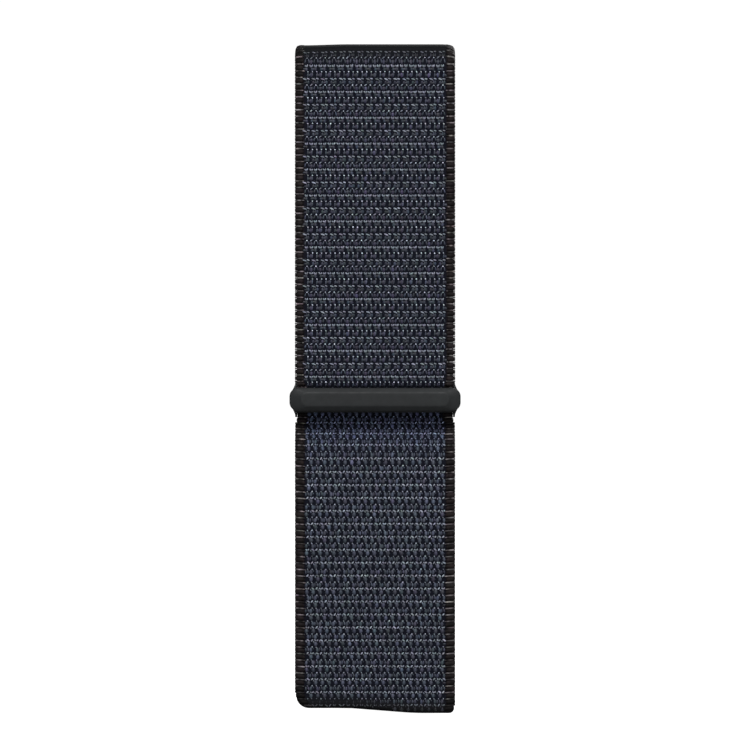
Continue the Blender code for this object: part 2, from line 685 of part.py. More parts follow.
clear_scene()
PIECES = make_collection("fitness_tracker_band")
CUTTERS = make_collection("cutters")
WOVEN = make_material("woven_nylon", (0.030, 0.034, 0.052), 0.85)
PILE = make_material("loop_pile", (0.032, 0.036, 0.056), 0.9)
HOOKS = make_material("hook_tape", (0.020, 0.021, 0.024), 0.55)
RING_PLASTIC = make_material("ring_plastic", (0.032, 0.034, 0.036), 0.5)
RAIL_PLASTIC = make_material("rail_plastic", (0.022, 0.023, 0.025), 0.45)
CATCH_PLASTIC = make_material("catch_plastic", (0.050, 0.052, 0.055), 0.4)
STEEL = make_material("steel", (0.45, 0.46, 0.48), 0.3, 1.0)

UPPER_PIN_AXIS = joint_axis("upper_pin_axis", 0, PIN_Z)
BAR_AXIS = joint_axis("bar_axis", BAR_Y, BAR_Z)
PEEL_AXIS = joint_axis("peel_axis", *peel_line())

make_short_strap(UPPER_PIN_AXIS)
make_ring_cover(UPPER_PIN_AXIS)
make_ring_frame(UPPER_PIN_AXIS)
make_ring_rivets(UPPER_PIN_AXIS)
make_long_strap(BAR_AXIS)
make_tail(PEEL_AXIS)
make_hook_pad(PEEL_AXIS)
Connector("upper", False).make()
Connector("lower", True).make()
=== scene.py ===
"""Looks of the fitness tracker band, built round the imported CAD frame. Metres, in the CAD's axes."""

import math
from collections import namedtuple
from dataclasses import dataclass
from typing import Callable

import bpy
import numpy as np
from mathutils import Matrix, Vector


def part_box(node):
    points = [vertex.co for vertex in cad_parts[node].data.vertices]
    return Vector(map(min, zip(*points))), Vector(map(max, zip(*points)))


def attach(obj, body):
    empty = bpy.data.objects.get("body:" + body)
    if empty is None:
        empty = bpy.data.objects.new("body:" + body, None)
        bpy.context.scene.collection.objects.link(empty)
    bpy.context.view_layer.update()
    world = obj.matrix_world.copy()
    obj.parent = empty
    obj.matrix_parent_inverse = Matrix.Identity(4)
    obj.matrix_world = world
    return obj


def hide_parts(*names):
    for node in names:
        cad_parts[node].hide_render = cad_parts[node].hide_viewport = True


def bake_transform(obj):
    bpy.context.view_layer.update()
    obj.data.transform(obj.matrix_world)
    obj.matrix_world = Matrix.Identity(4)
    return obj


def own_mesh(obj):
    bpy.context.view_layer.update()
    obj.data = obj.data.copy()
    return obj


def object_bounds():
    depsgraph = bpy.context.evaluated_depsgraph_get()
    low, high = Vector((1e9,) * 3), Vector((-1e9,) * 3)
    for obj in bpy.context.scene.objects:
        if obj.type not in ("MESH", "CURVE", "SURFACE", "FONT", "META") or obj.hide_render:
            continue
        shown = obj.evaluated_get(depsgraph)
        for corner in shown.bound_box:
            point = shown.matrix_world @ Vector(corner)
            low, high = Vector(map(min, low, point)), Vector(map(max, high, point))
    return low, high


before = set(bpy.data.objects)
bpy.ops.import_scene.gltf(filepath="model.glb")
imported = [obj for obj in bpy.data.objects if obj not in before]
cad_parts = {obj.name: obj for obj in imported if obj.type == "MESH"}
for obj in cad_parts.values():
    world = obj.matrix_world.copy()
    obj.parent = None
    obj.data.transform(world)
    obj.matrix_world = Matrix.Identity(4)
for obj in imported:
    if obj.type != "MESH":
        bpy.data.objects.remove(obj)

CAD_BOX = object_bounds()
MM = 0.001
RANDOM = np.random.default_rng(11)


def middle(node):
    low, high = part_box(node)
    return (low + high) / 2


# ---- sizes and places that the frame's boxes give

HALF_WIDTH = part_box("short_strap")[1].x
BAND_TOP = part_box("short_strap")[1].z
CLASP_FACE_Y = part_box("short_strap")[0].y
PIN_Z = middle("upper_strap_pin").z
RING = middle("ring_cover")
COVER_LOW, COVER_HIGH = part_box("ring_cover")
WALL_LOW, WALL_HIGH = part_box("ring_frame")
TAIL_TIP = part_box("tail")[0].z
PAD_LOW, PAD_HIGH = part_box("hook_pad")

# ---- the CAD's own measures that no box gives

THICK = 1.9 * MM
FOLD_THICK = 1.2 * MM  # round the ring's bar
CLAMPED_THICK = 0.9 * MM  # inside the ring
CLAMP_GAP = 0.3 * MM  # between the ring's cover or plate and the strap that they clamp
FRONT_CORNER_RADIUS = 2.55 * MM
REAR_CORNER_RADIUS = 6.5 * MM
CROWN_DEGREES = 12.0  # the crown's slope where it meets each corner
S_RADIUS = 6.5 * MM  # of the S bend from the ring's bar out to the front
BAR_RADIUS = 0.7 * MM
BAR_Y, BAR_Z = -14.75 * MM, -3.6 * MM
EYE_RADIUS = 1.95 * MM  # of the webbing round a strap pin, and below of the hole in it
EYE_BORE = 1.05 * MM
EYE_LENGTH = 1.45 * MM  # from a strap pin to the full strap
NECK_HALF = 10.05 * MM
NECK_LENGTH = 1.5 * MM  # from the strap's end to where it widens
NOTCH_HALF = 11.70 * MM  # half the strap's width between the ring's end walls
NOTCH_ABOVE = 0.30 * MM  # how far that width goes on above and below the walls
NOTCH_BELOW = 0.95 * MM
NOTCH_STEP, NECK_STEP = 0.1 * MM, 0.7 * MM  # the lengths over which the strap narrows
TAIL_SLANT = 0.75 * MM
TAIL_CORNERS = (2.0 * MM, 0.75 * MM)  # left and right

FRONT_Y = CLASP_FACE_Y + THICK / 2
INNER_Y = -15.55 * MM
FOLD_RADIUS = (INNER_Y - FRONT_Y) / 2
S_DEGREES = math.degrees(math.acos(1 - (BAR_Y - FOLD_RADIUS - FRONT_Y) / (2 * S_RADIUS)))
S_HEIGHT = 2 * S_RADIUS * math.sin(math.radians(S_DEGREES))
LEG_BOTTOM = WALL_LOW.z - 0.1 * MM  # where the straight leg below the fold turns into the S bend

# ---- the fabric's own measures

COLUMN = 0.686 * MM  # from one column of stitches to the next
ROW = 0.981 * MM
YARN_ROOM = 0.24 * MM  # that the face yarns take of the strap's thickness, on each face
EYE_ROOM = 0.16 * MM  # the same, on the thin webbing round a pin
BINDING = 1.3 * MM  # width of the bound edge
TAIL_BINDING = 1.5 * MM
BULGE = 0.08 * MM  # of the binding past the strap's edge
TIP_ROUNDING = 0.8 * MM  # how far from the tail's end its ground gets thinner
BINDING_STEPS, BINDING_SIDES = 13, 6  # of each turn's tube
LIGHT_THREAD = np.array((0.082, 0.074, 0.077))
DARK_THREAD = np.array((0.0060, 0.0042, 0.0046))
SEAM = (0.05, 0.052, 0.06)  # colour of the sewn stitches
STITCH = (0.13 * MM, 0.12 * MM, 0.16 * MM)  # their half width, half height and lift


def smooth(value):
    t = np.clip(value, 0, 1)
    return t * t * (3 - 2 * t)


# ---- meshes

def add(name, data):
    obj = bpy.data.objects.new(name, data)
    bpy.context.scene.collection.objects.link(obj)
    return obj


def mesh_object(name, points, faces, material, colours=None, flat=False):
    """An object from arrays: faces is one array of index rows of equal length, or several."""
    groups = [faces] if isinstance(faces, np.ndarray) else faces
    mesh = bpy.data.meshes.new(name)
    mesh.vertices.add(len(points))
    mesh.vertices.foreach_set("co", np.asarray(points, np.float32).ravel())
    loops = np.concatenate([g.ravel() for g in groups]).astype(np.int32)
    sizes = np.concatenate([np.full(len(g), g.shape[1]) for g in groups]).astype(np.int32)
    mesh.loops.add(len(loops))
    mesh.loops.foreach_set("vertex_index", loops)
    mesh.polygons.add(len(sizes))
    starts = np.concatenate([[0], np.cumsum(sizes)[:-1]])
    mesh.polygons.foreach_set("loop_start", starts.astype(np.int32))
    mesh.update(calc_edges=True)
    mesh.validate()
    if not flat:
        mesh.shade_smooth()
    if colours is not None:
        layer = mesh.attributes.new("yarn", "FLOAT_COLOR", "POINT")
        alpha = np.ones((len(points), 1))
        layer.data.foreach_set("color", np.hstack([colours, alpha]).astype(np.float32).ravel())
    mesh.materials.append(material)
    return add(name, mesh)


def tube_faces(rows, count, turned_over=False):
    """Quads and caps of a closed body, whose points are rows of a ring with count points."""
    grid = np.arange(rows * count).reshape(rows, count)
    beside = np.roll(grid, -1, 1)
    quads = np.stack([grid[:-1], beside[:-1], beside[1:], grid[1:]], -1).reshape(-1, 4)
    caps = np.stack([grid[0][::-1], grid[-1]])
    return (quads[:, (0, 3, 2, 1)], caps[:, ::-1]) if turned_over else (quads, caps)


def outward(points, groups):
    """The faces of one closed body, all turned round if they face inwards."""
    from_centre = points - points.mean(0)
    volume = 0.0
    for faces in groups:
        corners = from_centre[faces]
        normals = np.cross(corners, np.roll(corners, -1, 1)).sum(1)
        volume += (corners.mean(1) * normals).sum()
    return groups if volume > 0 else [faces[:, ::-1] for faces in groups]


# ---- a strap's middle line

class Route:
    """The middle line in the side view, with +Z up and +Y to the right. Headings go from +Z to +Y."""

    def __init__(self, y, z, heading, thick):
        self.rows = [(0.0, y, z, heading, thick)]

    def to(self, y, z, thick):
        """Straight to a point, with the heading kept, so that the faces stay level."""
        s, y0, z0, heading, _ = self.rows[-1]
        self.rows.append((s + math.hypot(y - y0, z - z0), y, z, heading, thick))
        return self

    def run(self, length):
        s, y, z, heading, thick = self.rows[-1]
        turn = math.radians(heading)
        end = (y + length * math.sin(turn), z + length * math.cos(turn))
        self.rows.append((s + length, *end, heading, thick))
        return self

    def turn(self, radius, degrees, thick_after=None):
        s, y, z, heading, thick = self.rows[-1]
        thick_after = thick_after or thick
        steps = max(2, math.ceil(abs(degrees) / 3))
        signed = math.copysign(radius, degrees)
        start = math.radians(heading)
        for i in range(1, steps + 1):
            share = i / steps
            now = math.radians(heading + degrees * share)
            self.rows.append((
                s + radius * abs(now - start),
                y + signed * (math.cos(start) - math.cos(now)),
                z + signed * (math.sin(now) - math.sin(start)),
                heading + degrees * share,
                thick + (thick_after - thick) * share,
            ))
        return self

    @property
    def length(self):
        return self.rows[-1][0]

    def at(self, s):
        table = np.array(self.rows)
        y, z, heading, thick = (np.interp(s, table[:, 0], table[:, i]) for i in range(1, 5))
        return y, z, np.radians(heading), thick / 2

    def reaches(self, z, low, high):
        """The s of height z on the straight front of the route, between heights low and high."""
        tiny = 1e-9
        order = sorted((row[2], row[0]) for row in self.rows
                       if low - tiny <= row[2] <= high + tiny and row[1] < FRONT_Y + tiny)
        return float(np.interp(z, *zip(*order)))

    def place(self, x, s, out):
        """Points at x across the strap, s along it, and out to the right of its middle line."""
        y, z, turn, _ = self.at(s)
        return np.stack([x, y + out * np.cos(turn), z - out * np.sin(turn)], -1)

    def stations(self, step):
        """Places along the route, close together in bends and at most a step apart."""
        s = [0.0]
        for row in self.rows[1:]:
            pieces = max(1, math.ceil((row[0] - s[-1]) / step))
            s += list(np.linspace(s[-1], row[0], pieces + 1)[1:])
        return np.array(s)


@dataclass
class Strap:
    """A length of fabric on a route."""

    name: str
    route: Route
    half_width: Callable  # at each s
    end: Callable = None  # the s of the far end at each x
    shape: Callable = None  # moves finished points a little
    room: float = YARN_ROOM  # the depth that the face yarns need
    bound: float = BINDING  # the binding's width
    tint: Callable = None  # multiplies the yarns' colours at each s
    fade: Callable = None  # how much of the outer face's pattern shows at each x and s
    grey: tuple = None  # the ground's colour where none of it shows
    dim: Callable = lambda x, s: 1.0  # multiplies the binding's colour at each x and s
    swell: Callable = lambda s: 0.0 * s  # raises the ground at each s, where it has no yarns on it

    def finish(self, points):
        return self.shape(points) if self.shape else points

    def ground(self, step=0.6 * MM, edge=8, columns=36):
        """The woven ground: a closed slab with round edges, under the face yarns."""
        s = self.route.stations(step)
        width = self.half_width(s)
        half = self.route.at(s)[3] - self.room + self.swell(s)
        close = np.ones_like(s)
        if self.end is not None:
            over = np.clip(1 - (self.route.length - s) / TIP_ROUNDING, 0, 1)
            close = np.sqrt(np.clip(1 - over ** 2, 0.02, 1))
        across = np.sin(np.linspace(-1, 1, columns) * math.pi / 2)
        bend = np.linspace(math.pi / 2, -math.pi / 2, edge + 2)[1:-1]
        inner = width - half - 0.12 * MM
        top = np.outer(inner, across)
        right = inner[:, None] + np.outer(half, np.cos(bend))
        x = np.hstack([top, right, top[:, ::-1], -right])
        lift = np.hstack([
            np.tile(half[:, None], columns), np.outer(half, np.sin(bend)),
            np.tile(-half[:, None], columns), np.outer(half, -np.sin(bend)),
        ]) * close[:, None]
        along = np.tile(s[:, None], x.shape[1])
        if self.end is not None:
            start = self.route.length - 6 * MM
            reach = (self.end(x) - start) / (self.route.length - start)
            along = np.where(along > start, start + (along - start) * reach, along)
        points = self.finish(self.route.place(x.ravel(), along.ravel(), lift.ravel()))
        faces = tube_faces(*x.shape, turned_over=True)
        colours = ground_colour(x.ravel(), along.ravel(), self)
        return mesh_object(f"{self.name}_ground", points, faces, GROUND, colours)

    def yarns(self, name, floats, side, material):
        """Raised floats. A row is x0, s0, x1, s1, half width, half height, lift, red, green, blue."""
        floats = np.asarray(floats)
        a, b, c, faces = spindle()
        x0, s0, x1, s1, wide, high, lift = floats[:, :7].T
        along = np.stack([x1 - x0, s1 - s0], -1) / 2
        reach = np.linalg.norm(along, axis=1) + 1e-9
        unit = along / reach[:, None]
        long = reach + 0.5 * wide
        ux, us = unit.T
        x = ((x0 + x1) / 2)[:, None] + np.outer(long * ux, a) - np.outer(wide * us, b)
        s = ((s0 + s1) / 2)[:, None] + np.outer(long * us, a) + np.outer(wide * ux, b)
        ground = self.route.at(s.ravel())[3].reshape(s.shape) - self.room
        out = side * (ground + lift[:, None] + np.outer(high, c))
        points = self.finish(self.route.place(x.ravel(), s.ravel(), out.ravel()))
        offset = (np.arange(len(floats)) * len(a))[:, None, None]
        tris = (faces[None] + offset).reshape(-1, 3)
        if side > 0:
            tris = tris[:, ::-1]
        colours = np.repeat(floats[:, 7:10], len(a), axis=0)
        return mesh_object(name, points, tris, material, colours)

    def edge_at(self, s, sign):
        """The half width at s on one side, less where the far end's corner is cut away."""
        width = float(self.half_width(np.array([s]))[0])
        if self.end is None:
            return width
        across = np.linspace(0.7 * width, width, 80)
        kept = across[self.end(sign * across) > s + 0.36 * MM]
        if not len(kept):
            return None
        return width if len(kept) == len(across) else float(kept.max()) - BULGE

    def turn_path(self, s, width, reach):
        """One turn of binding in (x, out): along one face, round the edge and back along the other."""
        half = float(self.route.at(s)[3]) - 0.16 * MM - 0.4 * float(self.swell(s))
        t = np.linspace(-1, 1, BINDING_STEPS)
        on_face = np.clip(np.abs(t) * 1.9 - 0.9, 0, 1)
        angle = np.clip(t * 1.9, -1, 1) * math.pi / 2
        x = width + BULGE - half + half * np.cos(angle) ** 0.5 - on_face * (reach + BULGE - half)
        out = half * np.sign(t) * np.abs(np.sin(angle)) ** 0.5 + np.sign(t) * on_face * 0.03 * MM
        return t, x, out

    def binding(self, pitch=0.49 * MM, lean=0.0, start=0.0):
        """Thread wound round both edges: a closed tube for each turn, every second one light."""
        points, quads, caps, colours = [], [], [], []
        around = np.linspace(0, 2 * math.pi, BINDING_SIDES, endpoint=False)
        for sign in (-1, 1):
            for i, s0 in enumerate(np.arange(0.3 * MM, self.route.length - 0.1 * MM, pitch)):
                width = self.edge_at(s0, sign)
                if width is None or s0 < start:
                    continue
                light = i % 2 == 0
                reach = (self.bound if light else self.bound * 0.92) * RANDOM.uniform(0.90, 1.05)
                t, x, out = self.turn_path(s0, width, reach)
                dx, dout = np.gradient(x), np.gradient(out)
                size = np.hypot(dx, dout) + 1e-12
                fat = (0.105 if light else 0.09) * MM * np.sqrt(np.clip(1.02 - np.abs(t) ** 6, 0.05, 1))
                px = x[:, None] + np.outer(fat * dout / size, np.cos(around))
                pout = out[:, None] - np.outer(fat * dx / size, np.cos(around))
                ps = s0 + lean * t[:, None] + np.outer(fat * (1.2 if light else 4.2), np.sin(around))
                made = self.route.place(sign * px.ravel(), ps.ravel(), pout.ravel())
                faces = outward(made, tube_faces(BINDING_STEPS, BINDING_SIDES, turned_over=True))
                base = len(points) * len(made)
                points.append(made)
                quads.append(faces[0] + base)
                caps.append(faces[1] + base)
                # Each turn is bright in some spots and dull in others
                if light:
                    tone, spots = LIGHT_THREAD, 0.08 + 2.3 * RANDOM.random(BINDING_STEPS) ** 2.0
                else:
                    tone, spots = DARK_THREAD, RANDOM.uniform(0.5, 2.0, BINDING_STEPS)
                tone = tone * RANDOM.uniform(0.7, 1.25) * (1 + 0.04 * RANDOM.standard_normal(3))
                spots = np.repeat(spots, BINDING_SIDES) * self.dim(sign * width, s0)
                colours.append(np.outer(spots, tone))
        faces = [np.concatenate(quads), np.concatenate(caps)]
        colours = np.clip(np.concatenate(colours), 0, 1)
        made = self.finish(np.concatenate(points))
        return mesh_object(f"{self.name}_binding", made, faces, EDGE, colours)


def spindle(sides=5):
    """A float's template: a pointed oval along a, with b across it and c out of the fabric."""
    stations = ((-0.66, 0.74), (0.0, 1.0), (0.66, 0.74))
    angle = np.linspace(0, 2 * math.pi, sides, endpoint=False) + math.pi / 2
    a, b, c = [-1.0], [0.0], [-0.25]
    for place, size in stations:
        a += [place] * sides
        b += list(size * np.cos(angle))
        c += list(size * np.sin(angle))
    a.append(1.0)
    b.append(0.0)
    c.append(-0.25)
    faces = []
    for i in range(sides):
        j = (i + 1) % sides
        faces.append((0, 1 + j, 1 + i))
        for ring in range(len(stations) - 1):
            p, q = 1 + ring * sides, 1 + (ring + 1) * sides
            faces += [(p + i, p + j, q + j), (p + i, q + j, q + i)]
        last = 1 + (len(stations) - 1) * sides
        faces.append((last + i, last + j, last + sides))
    return np.array(a), np.array(b), np.array(c), np.array(faces)


# ---- weaves: each float is x0, down0, x1, down1 and its half width in millimetres, then its tone

TONES = {  # colour, lift in millimetres, and how far it varies in brightness and in hue
    "glint": ((0.385, 0.42, 0.49), 0.11, 0.32, 0.03),
    "pearl": ((0.25, 0.275, 0.325), 0.10, 0.22, 0.03),
    "light": ((0.165, 0.182, 0.222), 0.09, 0.22, 0.03),
    "soft": ((0.083, 0.092, 0.117), 0.06, 0.25, 0.04),
    "mid": ((0.037, 0.0435, 0.063), 0.0, 0.25, 0.05),
    "cloud": ((0.040, 0.0475, 0.069), -0.02, 0.25, 0.05),
    "body": ((0.020, 0.0235, 0.037), -0.05, 0.28, 0.07),
    "blue": ((0.016, 0.023, 0.036), -0.05, 0.28, 0.07),
    "violet": ((0.022, 0.021, 0.042), -0.05, 0.28, 0.07),
    "under": ((0.015, 0.018, 0.027), -0.09, 0.3, 0.07),
}

# across and tall are a repeat's size, shift is how far each row of repeats moves across from the one
# before it, and first_x and first_z say where the weave starts on the closed band.
Weave = namedtuple("Weave", "across tall shift first_x first_z floats")

RIBBED = Weave(2 * COLUMN, 4 * ROW, 0.0, 0.32 * MM, 29.61 * MM, [
    # slanting dashes, a long one and a short one, over two bodies
    (-0.29, -0.1, 0.26, 0.1, 0.135, "light"), (0.35, -0.13, 0.7, 0.0, 0.125, "light"),
    (0.29, 0.17, 0.36, 0.46, 0.1, "mid"), (-0.15, 0.52, 0.75, 0.52, 0.27, "under"),
    (0.84, 0.17, 1.14, 0.17, 0.12, "under"),
    (-0.07, 0.26, -0.07, 0.72, 0.24, "body"), (0.55, 0.2, 0.55, 0.72, 0.22, "blue"),
    # a dot and a stroke in turn, with a dark hole under the dot
    (0.35, 0.84, 0.36, 0.95, 0.11, "glint"), (0.82, 1.01, 1.14, 0.76, 0.095, "light"),
    (0.14, 0.98, 0.02, 1.55, 0.11, "mid"), (0.54, 0.98, 0.66, 1.55, 0.11, "mid"),
    (0.98, 1.16, 0.98, 1.66, 0.28, "violet"), (0.62, 1.34, 1.35, 1.34, 0.28, "under"),
    # a close row of hearts
    (0.04, 1.83, 0.18, 2.04, 0.125, "light"), (0.44, 1.8, 0.29, 2.05, 0.13, "light"),
    (0.74, 1.82, 0.94, 2.05, 0.13, "light"), (1.2, 1.84, 1.07, 2.04, 0.12, "light"),
    (0.08, 2.02, 0.42, 2.02, 0.17, "soft"), (0.82, 2.02, 1.16, 2.02, 0.17, "soft"),
    (0.9, 2.36, 1.82, 2.36, 0.27, "under"),
    (0.27, 2.2, 0.27, 2.62, 0.26, "body"), (1.09, 2.2, 1.09, 2.62, 0.26, "blue"),
    # a row of dots, with a dark hole under every second gap
    (-0.22, 2.74, -0.19, 2.86, 0.105, "glint"), (0.45, 2.74, 0.49, 2.87, 0.105, "glint"),
    (-0.2, 2.96, -0.26, 3.52, 0.12, "mid"), (0.52, 2.98, 0.43, 3.55, 0.13, "mid"),
    (0.95, 2.98, 0.97, 3.58, 0.24, "violet"), (0.45, 3.3, 1.1, 3.3, 0.3, "under"),
    (-0.12, 3.66, 0.3, 3.66, 0.13, "under"), (0.0, 3.0, 0.24, 3.0, 0.07, "under"),
])

PILE = Weave(3 * COLUMN, 2 * ROW, -COLUMN, 1.43 * MM, -20.11 * MM, [
    # a broad V and a knot, over two bodies
    (-0.14, 0.14, 0.11, -0.16, 0.115, "pearl"), (-0.76, -0.13, -0.36, 0.14, 0.14, "light"),
    (0.42, -0.08, 0.6, 0.08, 0.13, "light"), (0.88, -0.1, 0.72, 0.08, 0.13, "light"),
    (0.2, 0.1, 0.3, 0.36, 0.12, "soft"), (-0.94, 0.0, -0.84, 0.28, 0.12, "soft"),
    (-0.5, 0.26, -0.48, 0.8, 0.29, "cloud"), (0.54, 0.24, 0.52, 0.8, 0.29, "cloud"),
    (-0.8, 0.54, -0.28, 0.54, 0.28, "under"), (0.26, 0.54, 0.84, 0.54, 0.28, "under"),
    # dots, every third one bright
    (-0.03, 1.04, 0.06, 0.93, 0.115, "pearl"), (-0.72, 0.93, -0.68, 1.04, 0.1, "light"),
    (0.6, 0.93, 0.64, 1.04, 0.1, "light"),
    (-0.15, 1.12, -0.22, 1.72, 0.24, "cloud"), (-0.6, 1.14, -0.54, 1.6, 0.15, "mid"),
    (0.76, 1.12, 0.82, 1.74, 0.22, "cloud"), (1.1, 1.12, 1.12, 1.66, 0.13, "mid"),
    (0.14, 1.12, 0.24, 1.36, 0.1, "mid"), (-0.62, 1.42, 0.05, 1.42, 0.28, "under"),
    (0.68, 1.42, 0.98, 1.42, 0.28, "under"),
])

PLAIN = Weave(2 * COLUMN, 2 * ROW, 0.0, 0.0, 0.0, [
    (-0.27, 0.0, 0.27, 0.0, 0.3, "mid"), (0.69, 0.98, 1.07, 0.98, 0.3, "mid"),
    (0.69, -0.22, 0.69, 0.22, 0.25, "violet"), (0.0, 0.76, 0.0, 1.2, 0.25, "body"),
])


def weave_rows(weave, low, high, origin, down):
    """The weave's floats before any are moved or left out, with the two spreads of their tones."""
    rows = []
    columns = math.ceil(HALF_WIDTH / weave.across) + 1
    for row in range(math.floor(low / weave.tall) - 1, math.ceil(high / weave.tall) + 1):
        move = (row * weave.shift + weave.first_x) % weave.across
        for column in range(-columns, columns):
            x, d = column * weave.across + move, row * weave.tall
            for x0, d0, x1, d1, wide, tone in weave.floats:
                colour, lift, *spreads = TONES[tone]
                rows.append((
                    x + x0 * MM, origin + down * (d + d0 * MM),
                    x + x1 * MM, origin + down * (d + d1 * MM),
                    wide * MM, (0.07 + 0.35 * wide) * MM, lift * MM, *colour, *spreads,
                ))
    return np.array(rows)


def repeat(weave, strap, start, end, origin=0.0, down=1, margin=BINDING, fade=None):
    """A weave's floats on a strap from s start to end. It starts at origin and runs the way of down."""
    low, high = sorted(((start - origin) * down, (end - origin) * down))
    rows = weave_rows(weave, low, high, origin, down)
    x, s = (rows[:, 0] + rows[:, 2]) / 2, (rows[:, 1] + rows[:, 3]) / 2
    inside = (s > start) & (s < end) & (np.abs(x) < strap.half_width(s) - margin)
    if strap.end is not None:
        inside &= s < strap.end(x) - 0.45 * MM
    rows, x, s = rows[inside], x[inside], s[inside]
    rows[:, :4] += RANDOM.normal(0, 0.020 * MM, (len(rows), 4))
    bright = np.exp(RANDOM.normal(0, 1, len(rows)) * rows[:, 10])
    hue = 1 + RANDOM.normal(0, 1, (len(rows), 3)) * rows[:, 11:12]
    drift = np.sin(x * 1900 + 3 * np.sin(s * 610)) * np.sin(s * 1400 + x * 800)
    hue *= 1 + drift[:, None] * np.array((0.05, -0.03, 0.05))
    rows[:, 7:10] *= bright[:, None] * hue
    if strap.tint is not None:
        rows[:, 7:10] *= strap.tint(s)
    # A fade darkens the floats towards near black and sinks them; on the crown this darkening is
    # painted shade.
    if fade is not None:
        share = fade(x, s)
        rows[:, 7:10] = rows[:, 7:10] * share[:, None] + 0.006 * (1 - share[:, None])
        rows[:, 5] *= 0.35 + 0.65 * share
        rows[:, 6] = rows[:, 6] * share - 0.09 * MM * (1 - share)
    return np.clip(rows[:, :10], -1, 1)


# ---- materials

def new_material(name):
    material = bpy.data.materials.new(name)
    material.use_nodes = True
    tree = material.node_tree
    return material, tree, tree.nodes["Principled BSDF"]


def node(tree, kind, **values):
    made = tree.nodes.new(kind)
    for key, value in values.items():
        if key in made.inputs:
            made.inputs[key].default_value = value
        else:
            setattr(made, key, value)
    return made


def noise(tree, scale, detail=3.0, stretch=(1, 1, 1)):
    """Noise on the object's own coordinates, in metres; scale is in spots per metre."""
    place = node(tree, "ShaderNodeTexCoord")
    mapping = node(tree, "ShaderNodeMapping")
    mapping.inputs["Scale"].default_value = stretch
    tree.links.new(place.outputs["Object"], mapping.inputs["Vector"])
    made = node(tree, "ShaderNodeTexNoise", Scale=scale, Detail=detail)
    tree.links.new(mapping.outputs["Vector"], made.inputs["Vector"])
    return made.outputs["Fac"]


def remap(tree, value, low, high, start=0.3, end=0.7):
    made = node(tree, "ShaderNodeMapRange")
    for key, number in (("From Min", start), ("From Max", end), ("To Min", low), ("To Max", high)):
        made.inputs[key].default_value = number
    tree.links.new(value, made.inputs["Value"])
    return made.outputs["Result"]


def multiply(tree, colour, factor):
    made = node(tree, "ShaderNodeVectorMath", operation="MULTIPLY")
    tree.links.new(colour, made.inputs[0])
    tree.links.new(factor, made.inputs[1])
    return made.outputs["Vector"]


def mottle(tree, shader, colour, scale, low, high):
    base = node(tree, "ShaderNodeRGB")
    base.outputs[0].default_value = (*colour, 1)
    tinted = multiply(tree, base.outputs[0], remap(tree, noise(tree, scale), low, high))
    tree.links.new(tinted, shader.inputs["Base Color"])


def roughen(tree, shader, spots, low, high):
    tree.links.new(remap(tree, spots, low, high), shader.inputs["Roughness"])


def bump(tree, shader, height, strength, distance):
    made = node(tree, "ShaderNodeBump", Strength=strength, Distance=distance)
    tree.links.new(height, made.inputs["Height"])
    tree.links.new(made.outputs["Normal"], shader.inputs["Normal"])


def fabric_material(name, rough, sheen, specular):
    """Yarn in the colours of the mesh's own yarn attribute, with fibres along and across it."""
    material, tree, shader = new_material(name)
    colour = node(tree, "ShaderNodeAttribute", attribute_name="yarn")
    fibre = noise(tree, 14000, 2.0, (1, 1, 0.35))
    tinted = multiply(tree, colour.outputs["Color"], remap(tree, fibre, 0.72, 1.28))
    tree.links.new(tinted, shader.inputs["Base Color"])
    roughen(tree, shader, noise(tree, 5200), rough - 0.08, rough + 0.08)
    shader.inputs["Specular IOR Level"].default_value = specular
    shader.inputs["Sheen Weight"].default_value = sheen
    shader.inputs["Sheen Roughness"].default_value = 0.4
    shader.inputs["Sheen Tint"].default_value = (0.62, 0.66, 0.80, 1)
    bump(tree, shader, fibre, 0.35, 0.00003)
    return material


def plastic_material(name, colour, rough, grain=9000, depth=0.35, specular=0.5):
    """Moulded plastic: a fine spark-eroded grain, slight mottling and rubbed spots."""
    material, tree, shader = new_material(name)
    shader.inputs["Specular IOR Level"].default_value = specular
    mottle(tree, shader, colour, 700, 0.86, 1.14)
    roughen(tree, shader, noise(tree, 1600, 5.0), rough - 0.09, rough + 0.07)
    bump(tree, shader, noise(tree, grain, 2.0), depth, 0.00002)
    return material


def metal_material(name):
    """Turned steel, with fine lines round it and a few dull spots."""
    material, tree, shader = new_material(name)
    mottle(tree, shader, (0.46, 0.46, 0.47), 900, 0.8, 1.1)
    shader.inputs["Metallic"].default_value = 1.0
    roughen(tree, shader, noise(tree, 1200, 5.0), 0.22, 0.42)
    bump(tree, shader, noise(tree, 9000, 1.0, (4, 0.3, 0.3)), 0.25, 0.00001)
    return material


WOVEN = fabric_material("woven_nylon", 0.55, 0.05, 0.32)
PILE_FABRIC = fabric_material("loop_pile", 0.58, 0.06, 0.32)
GROUND = fabric_material("ground_weave", 0.90, 0.0, 0.06)
EDGE = fabric_material("edge_binding", 0.70, 0.0, 0.10)
HOOKS = plastic_material("hook_tape", (0.016, 0.017, 0.020), 0.42, 6000, 0.2)
RING_PLASTIC = plastic_material("ring_plastic", (0.0132, 0.0146, 0.0155), 0.58, specular=0.2)
RAIL_PLASTIC = plastic_material("rail_plastic", (0.020, 0.021, 0.023), 0.46)
CATCH_PLASTIC = plastic_material("catch_plastic", (0.050, 0.052, 0.056), 0.36, 12000, 0.2)
STEEL = metal_material("steel")


# ---- the routes, and the shapes of the straps' ends

